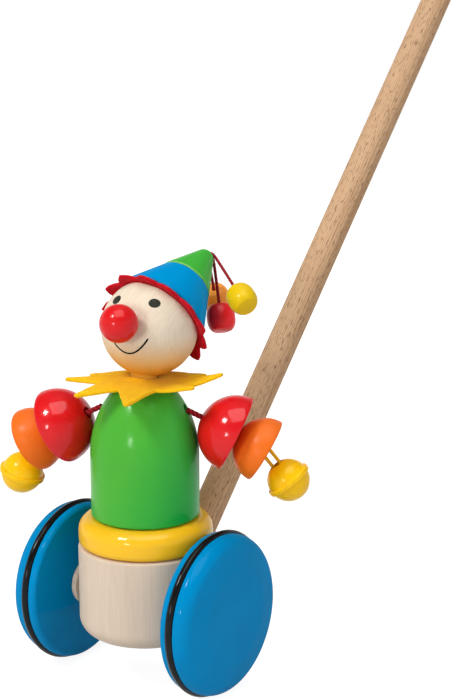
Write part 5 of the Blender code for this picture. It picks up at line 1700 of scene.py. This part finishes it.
def make_arm(side, shoulder_azimuth):
    """Arm of two half balls and a bell, hung from its shoulder hole."""
    azimuth = shoulder_azimuth + ARM_SWEEP[side]
    upper_start = ARM_CORD_FREE[side]
    upper_end = upper_start + UPPER_BALL_RADIUS
    mouth = shoulder_point(shoulder_azimuth)
    outward = heading(shoulder_azimuth, 0.0)
    shoulder = TORSO_FRAME @ Matrix.Translation(mouth) @ along(heading(azimuth, -ARM_DROOP[side]))
    turn = shoulder.to_3x3().inverted() @ TORSO_FRAME.to_3x3()
    elbow = shoulder @ Matrix.Translation((0, 0, upper_end)) @ along(turn @ heading(azimuth, -HAND_DROOP))
    hang = heading(azimuth + TORSO_TURN, -BELL_DROOP[side])
    bell = elbow @ Matrix.Translation((0, 0, ARM_REACH_LOWER)) @ along(elbow.to_3x3().inverted() @ -hang)
    up = Vector((0, 0, 1))
    upper = half_ball_profile(UPPER_BALL_RADIUS, mouth_radius=CORD_MOUTH_RADIUS)
    lower = half_ball_profile(LOWER_BALL_RADIUS, recess_radius=LOOP_RECESS_RADIUS,
                              recess_depth=LOOP_RECESS_DEPTH)
    arm_strand("shoulder_strand_" + side, TORSO_FRAME, mouth - (SHOULDER_HOLE_DEPTH - SEAT_GAP) * outward,
               mouth - (ARM_CORD_RADIUS + SEAT_GAP) * outward, "torso", "shoulder_cord_" + side)
    arm_strand("arm_strand_" + side, shoulder, 0 * up, (upper_end - SEAT_GAP) * up, "arm_" + side,
               "arm_cord_" + side)
    turned("upper_half_ball_" + side, upper, RED, "arm_" + side, "red_lacquer", "upper_arm_" + side,
           shoulder @ Matrix.Translation((0, 0, upper_start)), closed=True)
    turned("lower_half_ball_" + side, lower, ORANGE, "hand_" + side, "orange_lacquer", "lower_arm_" + side,
           elbow @ Matrix.Translation((0, 0, SEAT_GAP)), closed=True)
    arm_strand("hand_strand_" + side, elbow, SEAT_GAP * up, (ARM_REACH_LOWER - hand_cord_stop(side)) * up,
               "hand_" + side, "hand_cord_" + side)
    make_bell(side, bell)


for arm_side, arm_azimuth in SHOULDER_AZIMUTH.items():
    make_arm(arm_side, arm_azimuth)


# Solids that stay as they are, hidden inside the wood and the bells

for node_name, finish in (("nose_peg", BEECH_HIDDEN), ("hat_peg", BEECH_HIDDEN), ("axle", BEECH_HIDDEN),
                          ("pellet_right", STEEL), ("pellet_left", STEEL)):
    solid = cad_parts[node_name]
    solid.data.materials.clear()
    solid.data.materials.append(finish)


# Floor and surroundings

FLOOR_HALF = 9.0
FLOOR_DROP = 0.05 * MM
FLOOR_GLOW = 0.88
FLOOR_SHADOW_SHARE = 0.36
FLOOR_SHADE = 0.6
AMBIENT = 0.33
ROOM_ABOVE = 0.12
ROOM_FADE = ((0.25, 0.0), (0.55, 1.0))
WHITE = (1.0, 1.0, 1.0, 1.0)


def seen_white(tree, path):
    """One for rays that show the white background: straight, mirrored or through."""
    rays = [Wire(tree, path.outputs[name])
            for name in ("Is Camera Ray", "Is Glossy Ray", "Is Transmission Ray")]
    return rays[0].maths("MAXIMUM", rays[0].maths("MAXIMUM", rays[0], rays[1]), rays[2])


def make_floor():
    shape = bmesh.new()
    bmesh.ops.create_grid(shape, x_segments=1, y_segments=1, size=FLOOR_HALF)
    bmesh.ops.translate(shape, vec=(0, 0, FLOOR_Z - FLOOR_DROP), verts=shape.verts)
    mesh = bpy.data.meshes.new("floor")
    shape.to_mesh(mesh)
    shape.free()
    material = bpy.data.materials.new("studio_floor")
    material.use_nodes = True
    tree = material.node_tree
    tree.nodes.clear()
    wire = Wire(tree)
    path = tree.nodes.new("ShaderNodeLightPath")
    white = seen_white(tree, path)
    unseen = wire.node("ShaderNodeBsdfDiffuse", sockets={"Color": (FLOOR_SHADE,) * 3 + (1.0,)})
    shadowed = wire.node("ShaderNodeBsdfDiffuse", sockets={"Color": (FLOOR_SHADOW_SHARE,) * 3 + (1.0,)})
    glow = wire.node("ShaderNodeEmission", sockets={"Color": WHITE, "Strength": FLOOR_GLOW})
    seen = wire.node("ShaderNodeAddShader", sockets={0: shadowed, 1: glow})
    both = wire.node("ShaderNodeMixShader", sockets={0: white, 1: unseen, 2: seen})
    end = tree.nodes.new("ShaderNodeOutputMaterial")
    tree.links.new(both.socket, end.inputs["Surface"])
    mesh.materials.append(material)
    floor = bpy.data.objects.new("floor", mesh)
    bpy.context.scene.collection.objects.link(floor)


def make_world():
    world = bpy.data.worlds.new("studio")
    bpy.context.scene.world = world
    world.use_nodes = True
    tree = world.node_tree
    tree.nodes.clear()
    wire = Wire(tree)
    path = tree.nodes.new("ShaderNodeLightPath")
    white = seen_white(tree, path)
    glossy = Wire(tree, path.outputs["Is Glossy Ray"])
    direction = wire.node("ShaderNodeTexCoord", output="Generated")
    above = ramp(wire, height_in(wire, direction), *ROOM_FADE)
    mirrored = 1 - glossy * above * (1.0 - ROOM_ABOVE)
    strength = white * mirrored + (1 - white) * AMBIENT
    glow = wire.node("ShaderNodeBackground", sockets={"Color": WHITE, "Strength": strength})
    end = tree.nodes.new("ShaderNodeOutputWorld")
    tree.links.new(glow.socket, end.inputs["Surface"])


make_floor()
make_world()
bpy.context.scene.view_settings.view_transform = "Standard"
